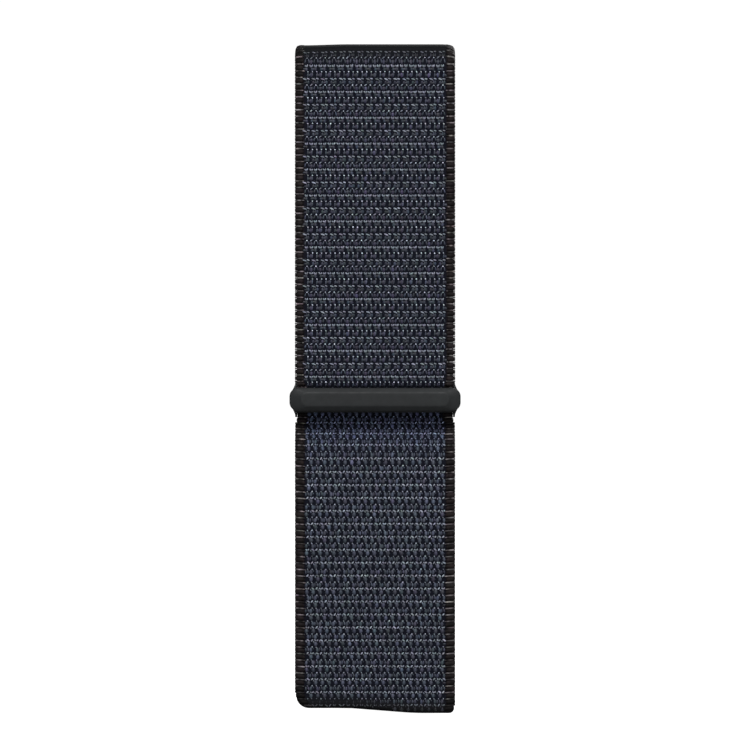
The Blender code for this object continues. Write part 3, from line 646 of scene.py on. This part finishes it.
def short_route():
    """From inside the ring up the front, over the top and down to the upper strap pin's eye."""
    cover_top = COVER_HIGH.z
    clamped_y = COVER_HIGH.y + CLAMP_GAP + CLAMPED_THICK / 2
    thin = 1.3 * MM  # just above the ring
    side = math.radians(90 - CROWN_DEGREES)
    corners = (FRONT_CORNER_RADIUS + REAR_CORNER_RADIUS) * (1 - math.cos(side))
    crown_radius = (-FRONT_Y - corners) / (2 * math.cos(side))
    crown_rise = crown_radius * (1 - math.sin(side))
    front_top = BAND_TOP - THICK / 2 - crown_rise - FRONT_CORNER_RADIUS * math.sin(side)
    route = Route(clamped_y, RING.z - 1.4 * MM, 0, CLAMPED_THICK)
    route.to(clamped_y, cover_top + 0.1 * MM, CLAMPED_THICK)
    route.to(CLASP_FACE_Y + thin / 2, cover_top + 0.5 * MM, thin)
    route.to(CLASP_FACE_Y + thin / 2, cover_top + 0.9 * MM, thin)
    route.to(FRONT_Y, cover_top + 1.6 * MM, THICK)
    route.to(FRONT_Y, front_top, THICK)
    route.turn(FRONT_CORNER_RADIUS, 90 - CROWN_DEGREES)
    route.turn(crown_radius, 2 * CROWN_DEGREES)
    route.turn(REAR_CORNER_RADIUS, 90 - CROWN_DEGREES)
    route.run(route.rows[-1][2] - PIN_Z - EYE_LENGTH)
    return route, front_top


def long_route():
    """From the lower strap pin's eye, round the bottom and up behind the front to the ring's bar."""
    bend_radius = -INNER_Y / 2
    bend_z = TAIL_TIP + TAIL_SLANT / 2 + 1.2 * MM + THICK / 2 + bend_radius
    half_way = (THICK + FOLD_THICK) / 2
    route = Route(0, -PIN_Z - EYE_LENGTH, 180, THICK)
    route.run(-PIN_Z - EYE_LENGTH - bend_z)
    route.turn(bend_radius, 180)
    route.run(LEG_BOTTOM - S_HEIGHT - bend_z)
    route.turn(S_RADIUS, S_DEGREES, half_way)
    route.turn(S_RADIUS, -S_DEGREES, FOLD_THICK)
    route.run(BAR_Z - LEG_BOTTOM)
    route.turn(FOLD_RADIUS, -180)
    return route


def tail_route():
    """From the ring's bar down the front to the tip."""
    half_way = (THICK + FOLD_THICK) / 2
    route = Route(BAR_Y - FOLD_RADIUS, BAR_Z, 180, FOLD_THICK)
    route.run(BAR_Z - LEG_BOTTOM)
    route.turn(S_RADIUS, S_DEGREES, half_way)
    route.turn(S_RADIUS, -S_DEGREES, THICK)
    route.run(route.rows[-1][2] - TAIL_TIP)
    return route


def eye_route(pin_z, leaves):
    """A turn of thin webbing round a strap pin, from and to a strap above it (leaves 1) or below."""
    middle_radius = (EYE_RADIUS + EYE_BORE) / 2
    opening = 24  # degrees on each side of the strap
    start = 90 * leaves + opening
    y, z = middle_radius * math.cos(math.radians(start)), middle_radius * math.sin(math.radians(start))
    route = Route(y, pin_z + z, -start, EYE_RADIUS - EYE_BORE)
    return route.turn(middle_radius, -(360 - 2 * opening))


def between(value, low, high, soft):
    """1 inside a range and 0 outside it, with soft ends."""
    return smooth((value - low) / soft) * smooth((high - value) / soft)


SHORT_ROUTE, FRONT_TOP = short_route()
LONG_ROUTE = long_route()
TAIL_ROUTE = tail_route()
SHORT_LENGTH, LONG_LENGTH, TAIL_LENGTH = SHORT_ROUTE.length, LONG_ROUTE.length, TAIL_ROUTE.length
S_AT_FRONT_TOP = SHORT_ROUTE.reaches(FRONT_TOP, 0, FRONT_TOP)


def narrowed(into_ring, into_neck=-1.0):
    """A strap's half width, from how far a place is into the ring's zone and the eye's neck."""
    in_ring, neck = smooth(into_ring / NOTCH_STEP), smooth(into_neck / NECK_STEP)
    return HALF_WIDTH - (HALF_WIDTH - NOTCH_HALF) * in_ring - (HALF_WIDTH - NECK_HALF) * neck


def short_width(s):
    z = SHORT_ROUTE.at(s)[1]
    into_ring = np.where(s < S_AT_FRONT_TOP, WALL_HIGH.z + NOTCH_ABOVE - z, -1.0)
    return narrowed(into_ring, s - (SHORT_LENGTH - NECK_LENGTH))


def long_width(s):
    z = LONG_ROUTE.at(s)[1]
    into_ring = np.where(s > LONG_LENGTH / 2, z - WALL_LOW.z + NOTCH_BELOW, -1.0)
    return narrowed(into_ring, NECK_LENGTH - s)


def tail_width(s):
    return narrowed(TAIL_ROUTE.at(s)[1] - WALL_LOW.z + NOTCH_BELOW)


def eye_width(s):
    return np.full_like(np.asarray(s, float), NECK_HALF)


def tail_end(x):
    """The s of the tail's slanted tip at each x, with a wide left corner and a tight right one."""
    left, right = TAIL_CORNERS
    rise = TAIL_SLANT * (1 - smooth((x + 5 * MM) / (12.5 * MM)))
    into_left = np.clip((left - HALF_WIDTH - x) / left, 0, 1)
    into_right = np.clip((x - HALF_WIDTH + right) / right, 0, 1)
    rise = rise + left * (1 - np.sqrt(1 - into_left**2)) + right * (1 - np.sqrt(1 - into_right**2))
    return TAIL_LENGTH - rise


def crown_shape(points):
    """Lets the edges down at the top, in a tight corner on the left and a wide one on the right."""
    x, z = points[:, 0], points[:, 2]
    weight = smooth((z - 47.0 * MM) / (3.2 * MM))
    drop = 0.16 * MM * smooth((-x - 4 * MM) / (7 * MM))
    left, right = (-1, 11.5 * MM, 0.75 * MM, 0.40 * MM), (1, 9.9 * MM, 2.5 * MM, 0.6 * MM)
    for sign, start, run, depth in (left, right):
        into = np.clip((sign * x - start) / run, 0, 1)
        drop += depth * (1 - np.sqrt(1 - into**2))
    moved = points.copy()
    moved[:, 2] -= drop * weight
    return moved


def crown_painted_shade(x, s):
    """Painted shade: how much of the pattern shows, falling to dark where the fabric turns over the
    top, in place of the light falling off there.
    """
    return 1 - 0.92 * between(s - S_AT_FRONT_TOP, -0.6 * MM, 10.6 * MM, 4.1 * MM)


def crown_swell(s):
    return 0.15 * MM * smooth((0.14 - crown_painted_shade(0, s)) / 0.05)


def tail_fade(x, s):
    """How much of the pattern shows: it fades towards the tip."""
    return 0.22 + 0.78 * smooth((tail_end(x) - s - 0.7 * MM) / (1.6 * MM))


def tail_painted_light_and_shade(s):
    """Painted light and shade below the ring: bluer and painted brighter just below it, where the
    ring's shadow falls, then a band of painted shade, and painted light a little lower down.
    """
    z = TAIL_ROUTE.at(s)[1][:, None]
    indigo = smooth((z + 13.0 * MM) / (6.0 * MM)) * np.array((-0.06, -0.02, 0.26))
    # Painted light a little lower down
    painted_light_lower = 0.10 * np.exp(-((z + 18.0 * MM) / (7.0 * MM)) ** 2)
    # Painted light close to the ring, inside the ring's shadow
    close = 0.42 * smooth((z + 8.2 * MM) / (2.0 * MM))
    # A band of painted shade
    painted_shade_band = 0.14 * between(z, -13.5 * MM, -5.8 * MM, 1.6 * MM)
    return (1 + indigo) * (1 + painted_light_lower) * (1 + close) * (1 - painted_shade_band)


def ground_colour(x, s, strap):
    """Browner under the binding, and greyer where the pattern fades."""
    base = np.tile(np.array((0.0042, 0.0050, 0.0092)), (len(x), 1))
    edge = smooth((np.abs(x) - (strap.half_width(s) - BINDING)) / (0.2 * MM))[:, None]
    base = base * (1 - edge) + np.array((0.010, 0.007, 0.008)) * edge
    # Where a fade hides the pattern the ground turns to the strap's grey; on the crown this grey is
    # painted shade.
    if strap.fade is not None:
        share = (1 - strap.fade(x, s))[:, None]
        base = base * (1 - share) + np.array(strap.grey) * share
    return base


def pile_floats(strap, start, end, count):
    """Brushed loops: short floats that lie every way."""
    rows = []
    place = RANDOM.random((count, 2))
    turn = RANDOM.random(count) * math.pi
    for (u, v), angle in zip(place, turn):
        s = start + (end - start) * v
        x = (2 * u - 1) * (float(strap.half_width(np.array([s]))[0]) - BINDING)
        reach = RANDOM.uniform(0.18, 0.38) * MM
        wide = RANDOM.uniform(0.09, 0.15) * MM
        tone = np.array(TONES[("mid", "body", "violet", "mid", "blue")[RANDOM.integers(5)]][0])
        tone = tone * RANDOM.uniform(0.6, 1.5)
        dx, ds = reach * math.cos(angle), reach * math.sin(angle)
        lift = RANDOM.uniform(-0.02, 0.10) * MM
        rows.append((x - dx, s - ds, x + dx, s + ds, wide, wide, lift, *tone))
    return np.array(rows)


def with_seam(floats, strap, s, pitch=1.0 * MM, margin=1.6 * MM):
    """The floats and two rows of stitches sewn across the strap, the first one at s."""
    made = []
    width = float(strap.half_width(np.array([s]))[0]) - margin
    for at in (s, s + 1.5 * MM):
        for x in np.arange(-width, width, pitch):
            made.append((x, at, x + 0.66 * pitch, at, *STITCH, *SEAM))
    return np.vstack([floats, made])


# ---- the straps, in the order of their random draws

LEFT, RIGHT = -1, 1  # the sides of a route
LONG_SEAM, SHORT_SEAM = 3.6 * MM, SHORT_LENGTH - 5.2 * MM
YARNS_END = SHORT_LENGTH - 2.2 * MM
OVER_THE_TOP = S_AT_FRONT_TOP + 5 * MM


def make_eye(name, route, material):
    """The webbing round a strap pin: its ground and its yarns."""
    eye = Strap(name, route, eye_width, room=EYE_ROOM)
    ground = eye.ground(step=0.4 * MM)
    floats = repeat(PLAIN, eye, 0.2 * MM, route.length - 0.2 * MM, margin=0.2 * MM)
    return [ground, eye.yarns(f"{name}_yarns", floats, RIGHT, material)]


def make_short_strap():
    """The upper strap: its ground, and a list of its other pieces."""
    # The crown's fade, grey ground and dimmed binding are painted shade where the fabric turns over the
    # top.
    strap = Strap("short_strap", SHORT_ROUTE, short_width, shape=crown_shape, swell=crown_swell,
                  fade=crown_painted_shade, grey=(0.0055, 0.0060, 0.0064),
                  dim=lambda x, s: 0.35 + 0.65 * float(crown_painted_shade(0, s)))
    ground = strap.ground()
    first = SHORT_ROUTE.reaches(RIBBED.first_z, 0, FRONT_TOP)
    front = repeat(RIBBED, strap, 2.9 * MM, OVER_THE_TOP, first, -1, fade=crown_painted_shade)
    over = repeat(RIBBED, strap, OVER_THE_TOP, YARNS_END, first, -1, fade=crown_painted_shade)
    lining = repeat(PLAIN, strap, 3.2 * MM, YARNS_END, first, -1)
    pieces = [
        strap.yarns("short_strap_front_yarns", front, LEFT, WOVEN),
        strap.yarns("short_strap_over_yarns", with_seam(over, strap, SHORT_SEAM), LEFT, WOVEN),
        strap.yarns("short_strap_lining_yarns", with_seam(lining, strap, SHORT_SEAM), RIGHT, WOVEN),
        strap.binding(start=2.6 * MM),
    ]
    return ground, pieces + make_eye("short_strap_eye", eye_route(PIN_Z, 1), WOVEN)


def make_long_strap():
    strap = Strap("long_strap", LONG_ROUTE, long_width)
    ground = strap.ground()
    wrist = repeat(PILE, strap, 2.2 * MM, LONG_LENGTH - 0.4 * MM)
    loops = pile_floats(strap, 2.2 * MM, LONG_LENGTH - 5.5 * MM, 6200)
    pieces = [
        strap.yarns("long_strap_wrist_yarns", with_seam(wrist, strap, LONG_SEAM), RIGHT, PILE_FABRIC),
        strap.yarns("long_strap_loops", with_seam(loops, strap, LONG_SEAM), LEFT, PILE_FABRIC),
        strap.binding(lean=0.12 * MM),
    ]
    return ground, pieces + make_eye("long_strap_eye", eye_route(-PIN_Z, -1), PILE_FABRIC)


def make_tail():
    """The free end, whose fabric starts in the ring's fold."""
    # The tail's tint is painted light and shade below the ring.
    strap = Strap("tail", TAIL_ROUTE, tail_width, end=tail_end, bound=TAIL_BINDING, tint=tail_painted_light_and_shade,
                  fade=tail_fade, grey=(0.0095, 0.0098, 0.0102),
                  dim=lambda x, s: float(tail_fade(np.array([x]), s)[0]))
    ground = strap.ground()
    first = TAIL_ROUTE.reaches(PILE.first_z, TAIL_TIP, LEG_BOTTOM - S_HEIGHT)
    front = repeat(PILE, strap, 0.4 * MM, TAIL_LENGTH, first, margin=TAIL_BINDING, fade=tail_fade)
    back = repeat(PLAIN, strap, 1.0 * MM, TAIL_LENGTH, fade=tail_fade)
    return ground, [
        strap.yarns("tail_front_yarns", front, RIGHT, PILE_FABRIC),
        strap.yarns("tail_back_yarns", back, LEFT, PILE_FABRIC),
        strap.binding(lean=0.16 * MM),
    ]


short_ground, short_pieces = make_short_strap()
long_ground, long_pieces = make_long_strap()
tail_ground, tail_pieces = make_tail()


# ---- hook pad

def rounded(width, height, radius, steps=8):
    """A rounded rectangle about the origin, anticlockwise."""
    points = []
    for start, across, up in ((0, 1, 1), (90, -1, 1), (180, -1, -1), (270, 1, -1)):
        for i in range(steps + 1):
            angle = math.radians(start + 90 * i / steps)
            points.append((
                across * (width / 2 - radius) + radius * math.cos(angle),
                up * (height / 2 - radius) + radius * math.sin(angle),
            ))
    return np.array(points)


def loft(loops):
    """Points, and faces as quads and caps, of a closed body through loops of equal length."""
    return np.vstack(loops), tube_faces(len(loops), len(loops[0]))


def facing(outline, y):
    """An outline in (x, z) as points at a depth y."""
    return np.stack([outline[:, 0], np.full(len(outline), y), outline[:, 1]], -1)


def make_pad_tape(front):
    centre_z = (PAD_LOW.z + PAD_HIGH.z) / 2
    width, height = PAD_HIGH.x - PAD_LOW.x, PAD_HIGH.z - PAD_LOW.z
    corner = 1.5 * MM
    loops = []
    for inset, y in ((0.05 * MM, PAD_LOW.y), (0.0, PAD_LOW.y + 0.04 * MM), (0.0, front - 0.05 * MM),
                     (0.06 * MM, front)):
        outline = rounded(width - 2 * inset, height - 2 * inset, corner - inset)
        outline[:, 1] += centre_z
        loops.append(facing(outline, y)[::-1])
    points, faces = loft(loops)
    return mesh_object("hook_pad_tape", points, faces, HOOKS)


# One hook in millimetres: how far along the tape and how far out its stem is, and how thick
HOOK_PATH = [(0.0, -0.02), (0.0, 0.13), (0.02, 0.22), (0.08, 0.29), (0.17, 0.30), (0.22, 0.24)]
HOOK_RADII = [0.085, 0.07, 0.062, 0.058, 0.052, 0.03]


def hook_rings(x, front, z, lean):
    """The rings of one hook, which stands at x and z and bends up if lean is 1, or down if -1."""
    around = np.linspace(0, 2 * math.pi, 6, endpoint=False)
    rings = []
    for i, ((along, out), radius) in enumerate(zip(HOOK_PATH, HOOK_RADII)):
        before, after = HOOK_PATH[max(0, i - 1)], HOOK_PATH[min(len(HOOK_PATH) - 1, i + 1)]
        run, rise = after[0] - before[0], after[1] - before[1]
        size = math.hypot(run, rise)
        rings.append(np.stack([
            x + radius * MM * np.cos(around) * 1.2,
            front + (out - radius * run / size * np.sin(around)) * MM,
            z + lean * (along + radius * rise / size * np.sin(around)) * MM,
        ], -1)[::lean])
    return rings


def make_pad_hooks(front):
    points, quads, caps = [], [], []
    last_x = PAD_HIGH.x - 0.6 * MM
    for row, z in enumerate(np.arange(PAD_LOW.z + 0.7 * MM, PAD_HIGH.z - 0.5 * MM, 0.72 * MM)):
        move = 0.43 * MM if row % 2 else 0
        for x in np.arange(PAD_LOW.x + 0.7 * MM, last_x, 0.86 * MM) + move:
            if x > last_x:
                continue
            made, faces = loft(hook_rings(x, front, z, 1 if row % 2 else -1))
            faces = outward(made, faces)
            base = len(points) * len(made)
            points.append(made)
            quads.append(faces[0] + base)
            caps.append(faces[1] + base)
    return mesh_object("hook_pad_hooks", np.vstack(points), [np.vstack(quads), np.vstack(caps)], HOOKS)


PAD_FRONT = PAD_LOW.y + 0.22 * MM
pad_tape, pad_hooks = make_pad_tape(PAD_FRONT), make_pad_hooks(PAD_FRONT)


# ---- clasp ring

RING_CORNER = 1.3 * MM  # of the cover's ends
BEVEL = 0.64  # mm, the inset where the cover's bevel meets its flat face
WALL_INNER = 11.9 * MM
WALL_LEAST = 0.22 * MM  # the end walls' thickness away from the cover
FRAME_REACH = 12.3 * MM  # half the length of the bar and the plate, which end inside the walls


def make_ring_cover():
    """The clasp's bar: straight sides, a broad bevel and a flat face, all with soft edges."""
    width, height = COVER_HIGH.x - COVER_LOW.x, COVER_HIGH.z - COVER_LOW.z
    back, face = COVER_HIGH.y, COVER_LOW.y
    shoulder = face + 0.55 * MM
    steps = [  # inset in mm, then depth
        (0.22, back), (0.06, back - 0.02 * MM), (0.0, back - 0.10 * MM),
        (0.0, shoulder + 0.12 * MM), (0.02, shoulder + 0.05 * MM), (0.07, shoulder - 0.02 * MM),
        (0.14, shoulder - 0.08 * MM), (0.40, shoulder - 0.28 * MM), (BEVEL, face + 0.07 * MM),
        (0.71, face + 0.032 * MM), (0.79, face + 0.010 * MM), (0.90, face), (1.30, face),
    ]
    loops = []
    for inset, y in steps:
        end_inset = inset + min(1.0, inset / BEVEL) ** 1.5
        corner = min(RING_CORNER - 0.5 * inset * MM, height / 2 - inset * MM - 0.02 * MM)
        outline = rounded(width - 2 * end_inset * MM, height - 2 * inset * MM, corner, 14)
        outline[:, 1] += RING.z
        loops.append(facing(outline, y))
    points, faces = loft(loops)
    cover = mesh_object("ring_cover_shell", points, faces, RING_PLASTIC)
    cover.data.set_sharp_from_angle(angle=math.radians(50))
    return cover


def ring_wall(sign):
    """One end wall, lofted up its height: it flares out from the strap's edge to full width."""
    half = (WALL_HIGH.z - WALL_LOW.z) / 2 + 0.4 * MM
    corner = 1.6 * MM
    loops = []
    for up in np.sin(np.linspace(-1, 1, 49) * math.pi / 2) * half:
        over = max(0.0, abs(up) - (half - corner))
        cut = corner - math.sqrt(max(0.0, corner**2 - over**2))
        front, back = WALL_LOW.y + cut * 0.55, WALL_HIGH.y - cut
        flare = float(smooth((2.5 * MM - abs(up)) / (1.8 * MM)))
        thick = WALL_LEAST + (WALL_HIGH.x - WALL_INNER - WALL_LEAST) * flare
        radius = min(0.28 * MM, thick / 2.1, (back - front) / 2.1)
        outline = rounded(thick, back - front, radius, 4)
        x = sign * (outline[:, 0] + WALL_INNER + thick / 2)
        y = outline[:, 1] + (front + back) / 2
        loops.append(np.stack([x, y, np.full(len(x), RING.z + up)], -1)[::sign])
    return loft(loops)


def crossbar(y, z):
    """A prism between the end walls with a section through y and z."""
    ends = (-FRAME_REACH, FRAME_REACH)
    return loft([np.stack([np.full(len(y), x), y, z], -1) for x in ends])


def make_ring_frame():
    """The end walls, the clamping plate and the round bar, joined into one mesh."""
    plate_front, plate_thick = COVER_HIGH.y + 2 * CLAMP_GAP + CLAMPED_THICK, 0.8 * MM
    plate = rounded(4.0 * MM, plate_thick, 0.18 * MM, 4)[::-1]
    angle = np.linspace(0, 2 * math.pi, 40, endpoint=False)
    parts = [
        ring_wall(-1),
        ring_wall(1),
        crossbar(plate[:, 1] + plate_front + plate_thick / 2, plate[:, 0] + RING.z),
        crossbar(BAR_Y + BAR_RADIUS * np.cos(angle), BAR_Z + BAR_RADIUS * np.sin(angle)),
    ]
    shell, *tools = [
        mesh_object("ring_frame_shell", points, outward(points, faces), RING_PLASTIC)
        for points, faces in parts
    ]
    for tool in tools:
        modifier = shell.modifiers.new(tool.name, "BOOLEAN")
        modifier.operation = "UNION"
        modifier.solver = "EXACT"
        modifier.object = tool
    graph = bpy.context.evaluated_depsgraph_get()
    mesh = bpy.data.meshes.new_from_object(shell.evaluated_get(graph))
    shell.modifiers.clear()
    shell.data = mesh
    for tool in tools:
        bpy.data.objects.remove(tool)
    mesh.shade_smooth()
    mesh.set_sharp_from_angle(angle=math.radians(40))
    return shell


ring_cover = make_ring_cover()
ring_frame = make_ring_frame()


# ---- the CAD's own nodes

def dress(material, *names):
    for name in names:
        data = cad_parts[name].data
        data.materials.clear()
        data.materials.append(material)


def make_spring(end, side):
    """The spring behind a catch, as a copy of the CAD's spring that rides on its end's connector."""
    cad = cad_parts[f"{end}_catch_spring_{side}"]
    data = cad.data.copy()
    data.transform(cad.matrix_world)
    obj = add(f"{end}_catch_coil_{side}", data)
    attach(obj, f"{end}_connector")
    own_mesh(obj)
    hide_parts(cad.name)


dress(STEEL, *(f"ring_rivet_{i}" for i in range(1, 5)))
for end in ("upper", "lower"):
    dress(RAIL_PLASTIC, f"{end}_rail", f"{end}_catch_cover")
    dress(CATCH_PLASTIC, f"{end}_catch")
    dress(STEEL, f"{end}_strap_pin")
    for side in ("left", "right"):
        dress(STEEL, f"{end}_catch_spring_{side}", f"{end}_cover_screw_{side}")
        make_spring(end, side)


# ---- what each piece rides on, and the CAD parts that are hidden

for piece in [short_ground, *short_pieces, ring_cover, ring_frame]:
    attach(piece, "short_strap")
for piece in [long_ground, *long_pieces]:
    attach(piece, "long_strap")
# The tail's pieces keep their places, baked into world space, on no body
for piece in [tail_ground, *tail_pieces]:
    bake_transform(piece)
for piece in (pad_tape, pad_hooks):
    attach(piece, "tail")

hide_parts("short_strap")
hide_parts("long_strap")
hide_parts("tail")
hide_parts("hook_pad")
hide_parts("ring_cover")
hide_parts("ring_frame")


# ---- floor, light and camera

def by_ray(tree, seen, lit, surface):
    """One shader for the camera's own rays, and another for the rest."""
    path = node(tree, "ShaderNodeLightPath")
    mix = node(tree, "ShaderNodeMixShader")
    tree.links.new(path.outputs["Is Camera Ray"], mix.inputs[0])
    tree.links.new(lit.outputs[0], mix.inputs[1])
    tree.links.new(seen.outputs[0], mix.inputs[2])
    tree.links.new(mix.outputs[0], surface)


def make_floor():
    """White to the camera, and grey to the light that it throws on the band."""
    floor = bpy.data.meshes.new("floor")
    reach = 6.0
    low = CAD_BOX[0].z - 0.4 * MM
    corners = [(-reach, -reach, low), (reach, -reach, low), (reach, reach, low), (-reach, reach, low)]
    floor.from_pydata(corners, [], [(0, 1, 2, 3)])
    material, tree, shader = new_material("floor")
    tree.nodes.remove(shader)
    seen = node(tree, "ShaderNodeEmission", Strength=1.02)
    lit = node(tree, "ShaderNodeBsdfDiffuse")
    lit.inputs["Color"].default_value = (0.30, 0.30, 0.30, 1)
    both = node(tree, "ShaderNodeAddShader")
    tree.links.new(seen.outputs[0], both.inputs[0])
    tree.links.new(lit.outputs[0], both.inputs[1])
    by_ray(tree, both, lit, tree.nodes["Material Output"].inputs["Surface"])
    floor.materials.append(material)
    add("floor", floor)


def make_world():
    """Dim light from all round, with a white background for the camera only."""
    world = bpy.data.worlds.new("studio")
    world.use_nodes = True
    bpy.context.scene.world = world
    tree = world.node_tree
    back = tree.nodes["Background"]
    back.inputs["Color"].default_value = (1, 1, 1, 1)
    back.inputs["Strength"].default_value = 0.17
    white = node(tree, "ShaderNodeBackground", Color=(1, 1, 1, 1), Strength=1.02)
    by_ray(tree, white, back, tree.nodes["World Output"].inputs["Surface"])


def make_light(name, place, size, power):
    """A soft box that faces the origin."""
    lamp = bpy.data.lights.new(name, "AREA")
    lamp.shape = "RECTANGLE"
    lamp.size, lamp.size_y = size
    lamp.energy = power
    obj = add(name, lamp)
    obj.location = place
    obj.rotation_euler = (-obj.location).to_track_quat("-Z", "Y").to_euler()


def make_camera():
    """A long lens that looks straight at the clasp, and sees view_height there."""
    camera = bpy.data.cameras.new("camera")
    camera.lens, camera.sensor_width = 200, 36
    obj = add("camera", camera)
    view_height = 113.6 * MM
    distance = view_height / 2 / math.tan(math.atan(camera.sensor_width / 2 / camera.lens))
    obj.location = (-0.01 * MM, CLASP_FACE_Y - distance, 0.5 * MM)
    obj.rotation_euler = (math.radians(90), 0, 0)
    bpy.context.scene.camera = obj


make_floor()
make_world()
make_light("key", (0.0, -0.65, 0.55), (0.45, 0.28), 8.5)
make_light("front_fill", (0.1, -0.95, 0.12), (0.6, 0.6), 1.3)
make_light("back_fill", (0.5, 0.7, 0.5), (0.6, 0.6), 9.0)
make_camera()
bpy.context.scene.view_settings.view_transform = "Standard"
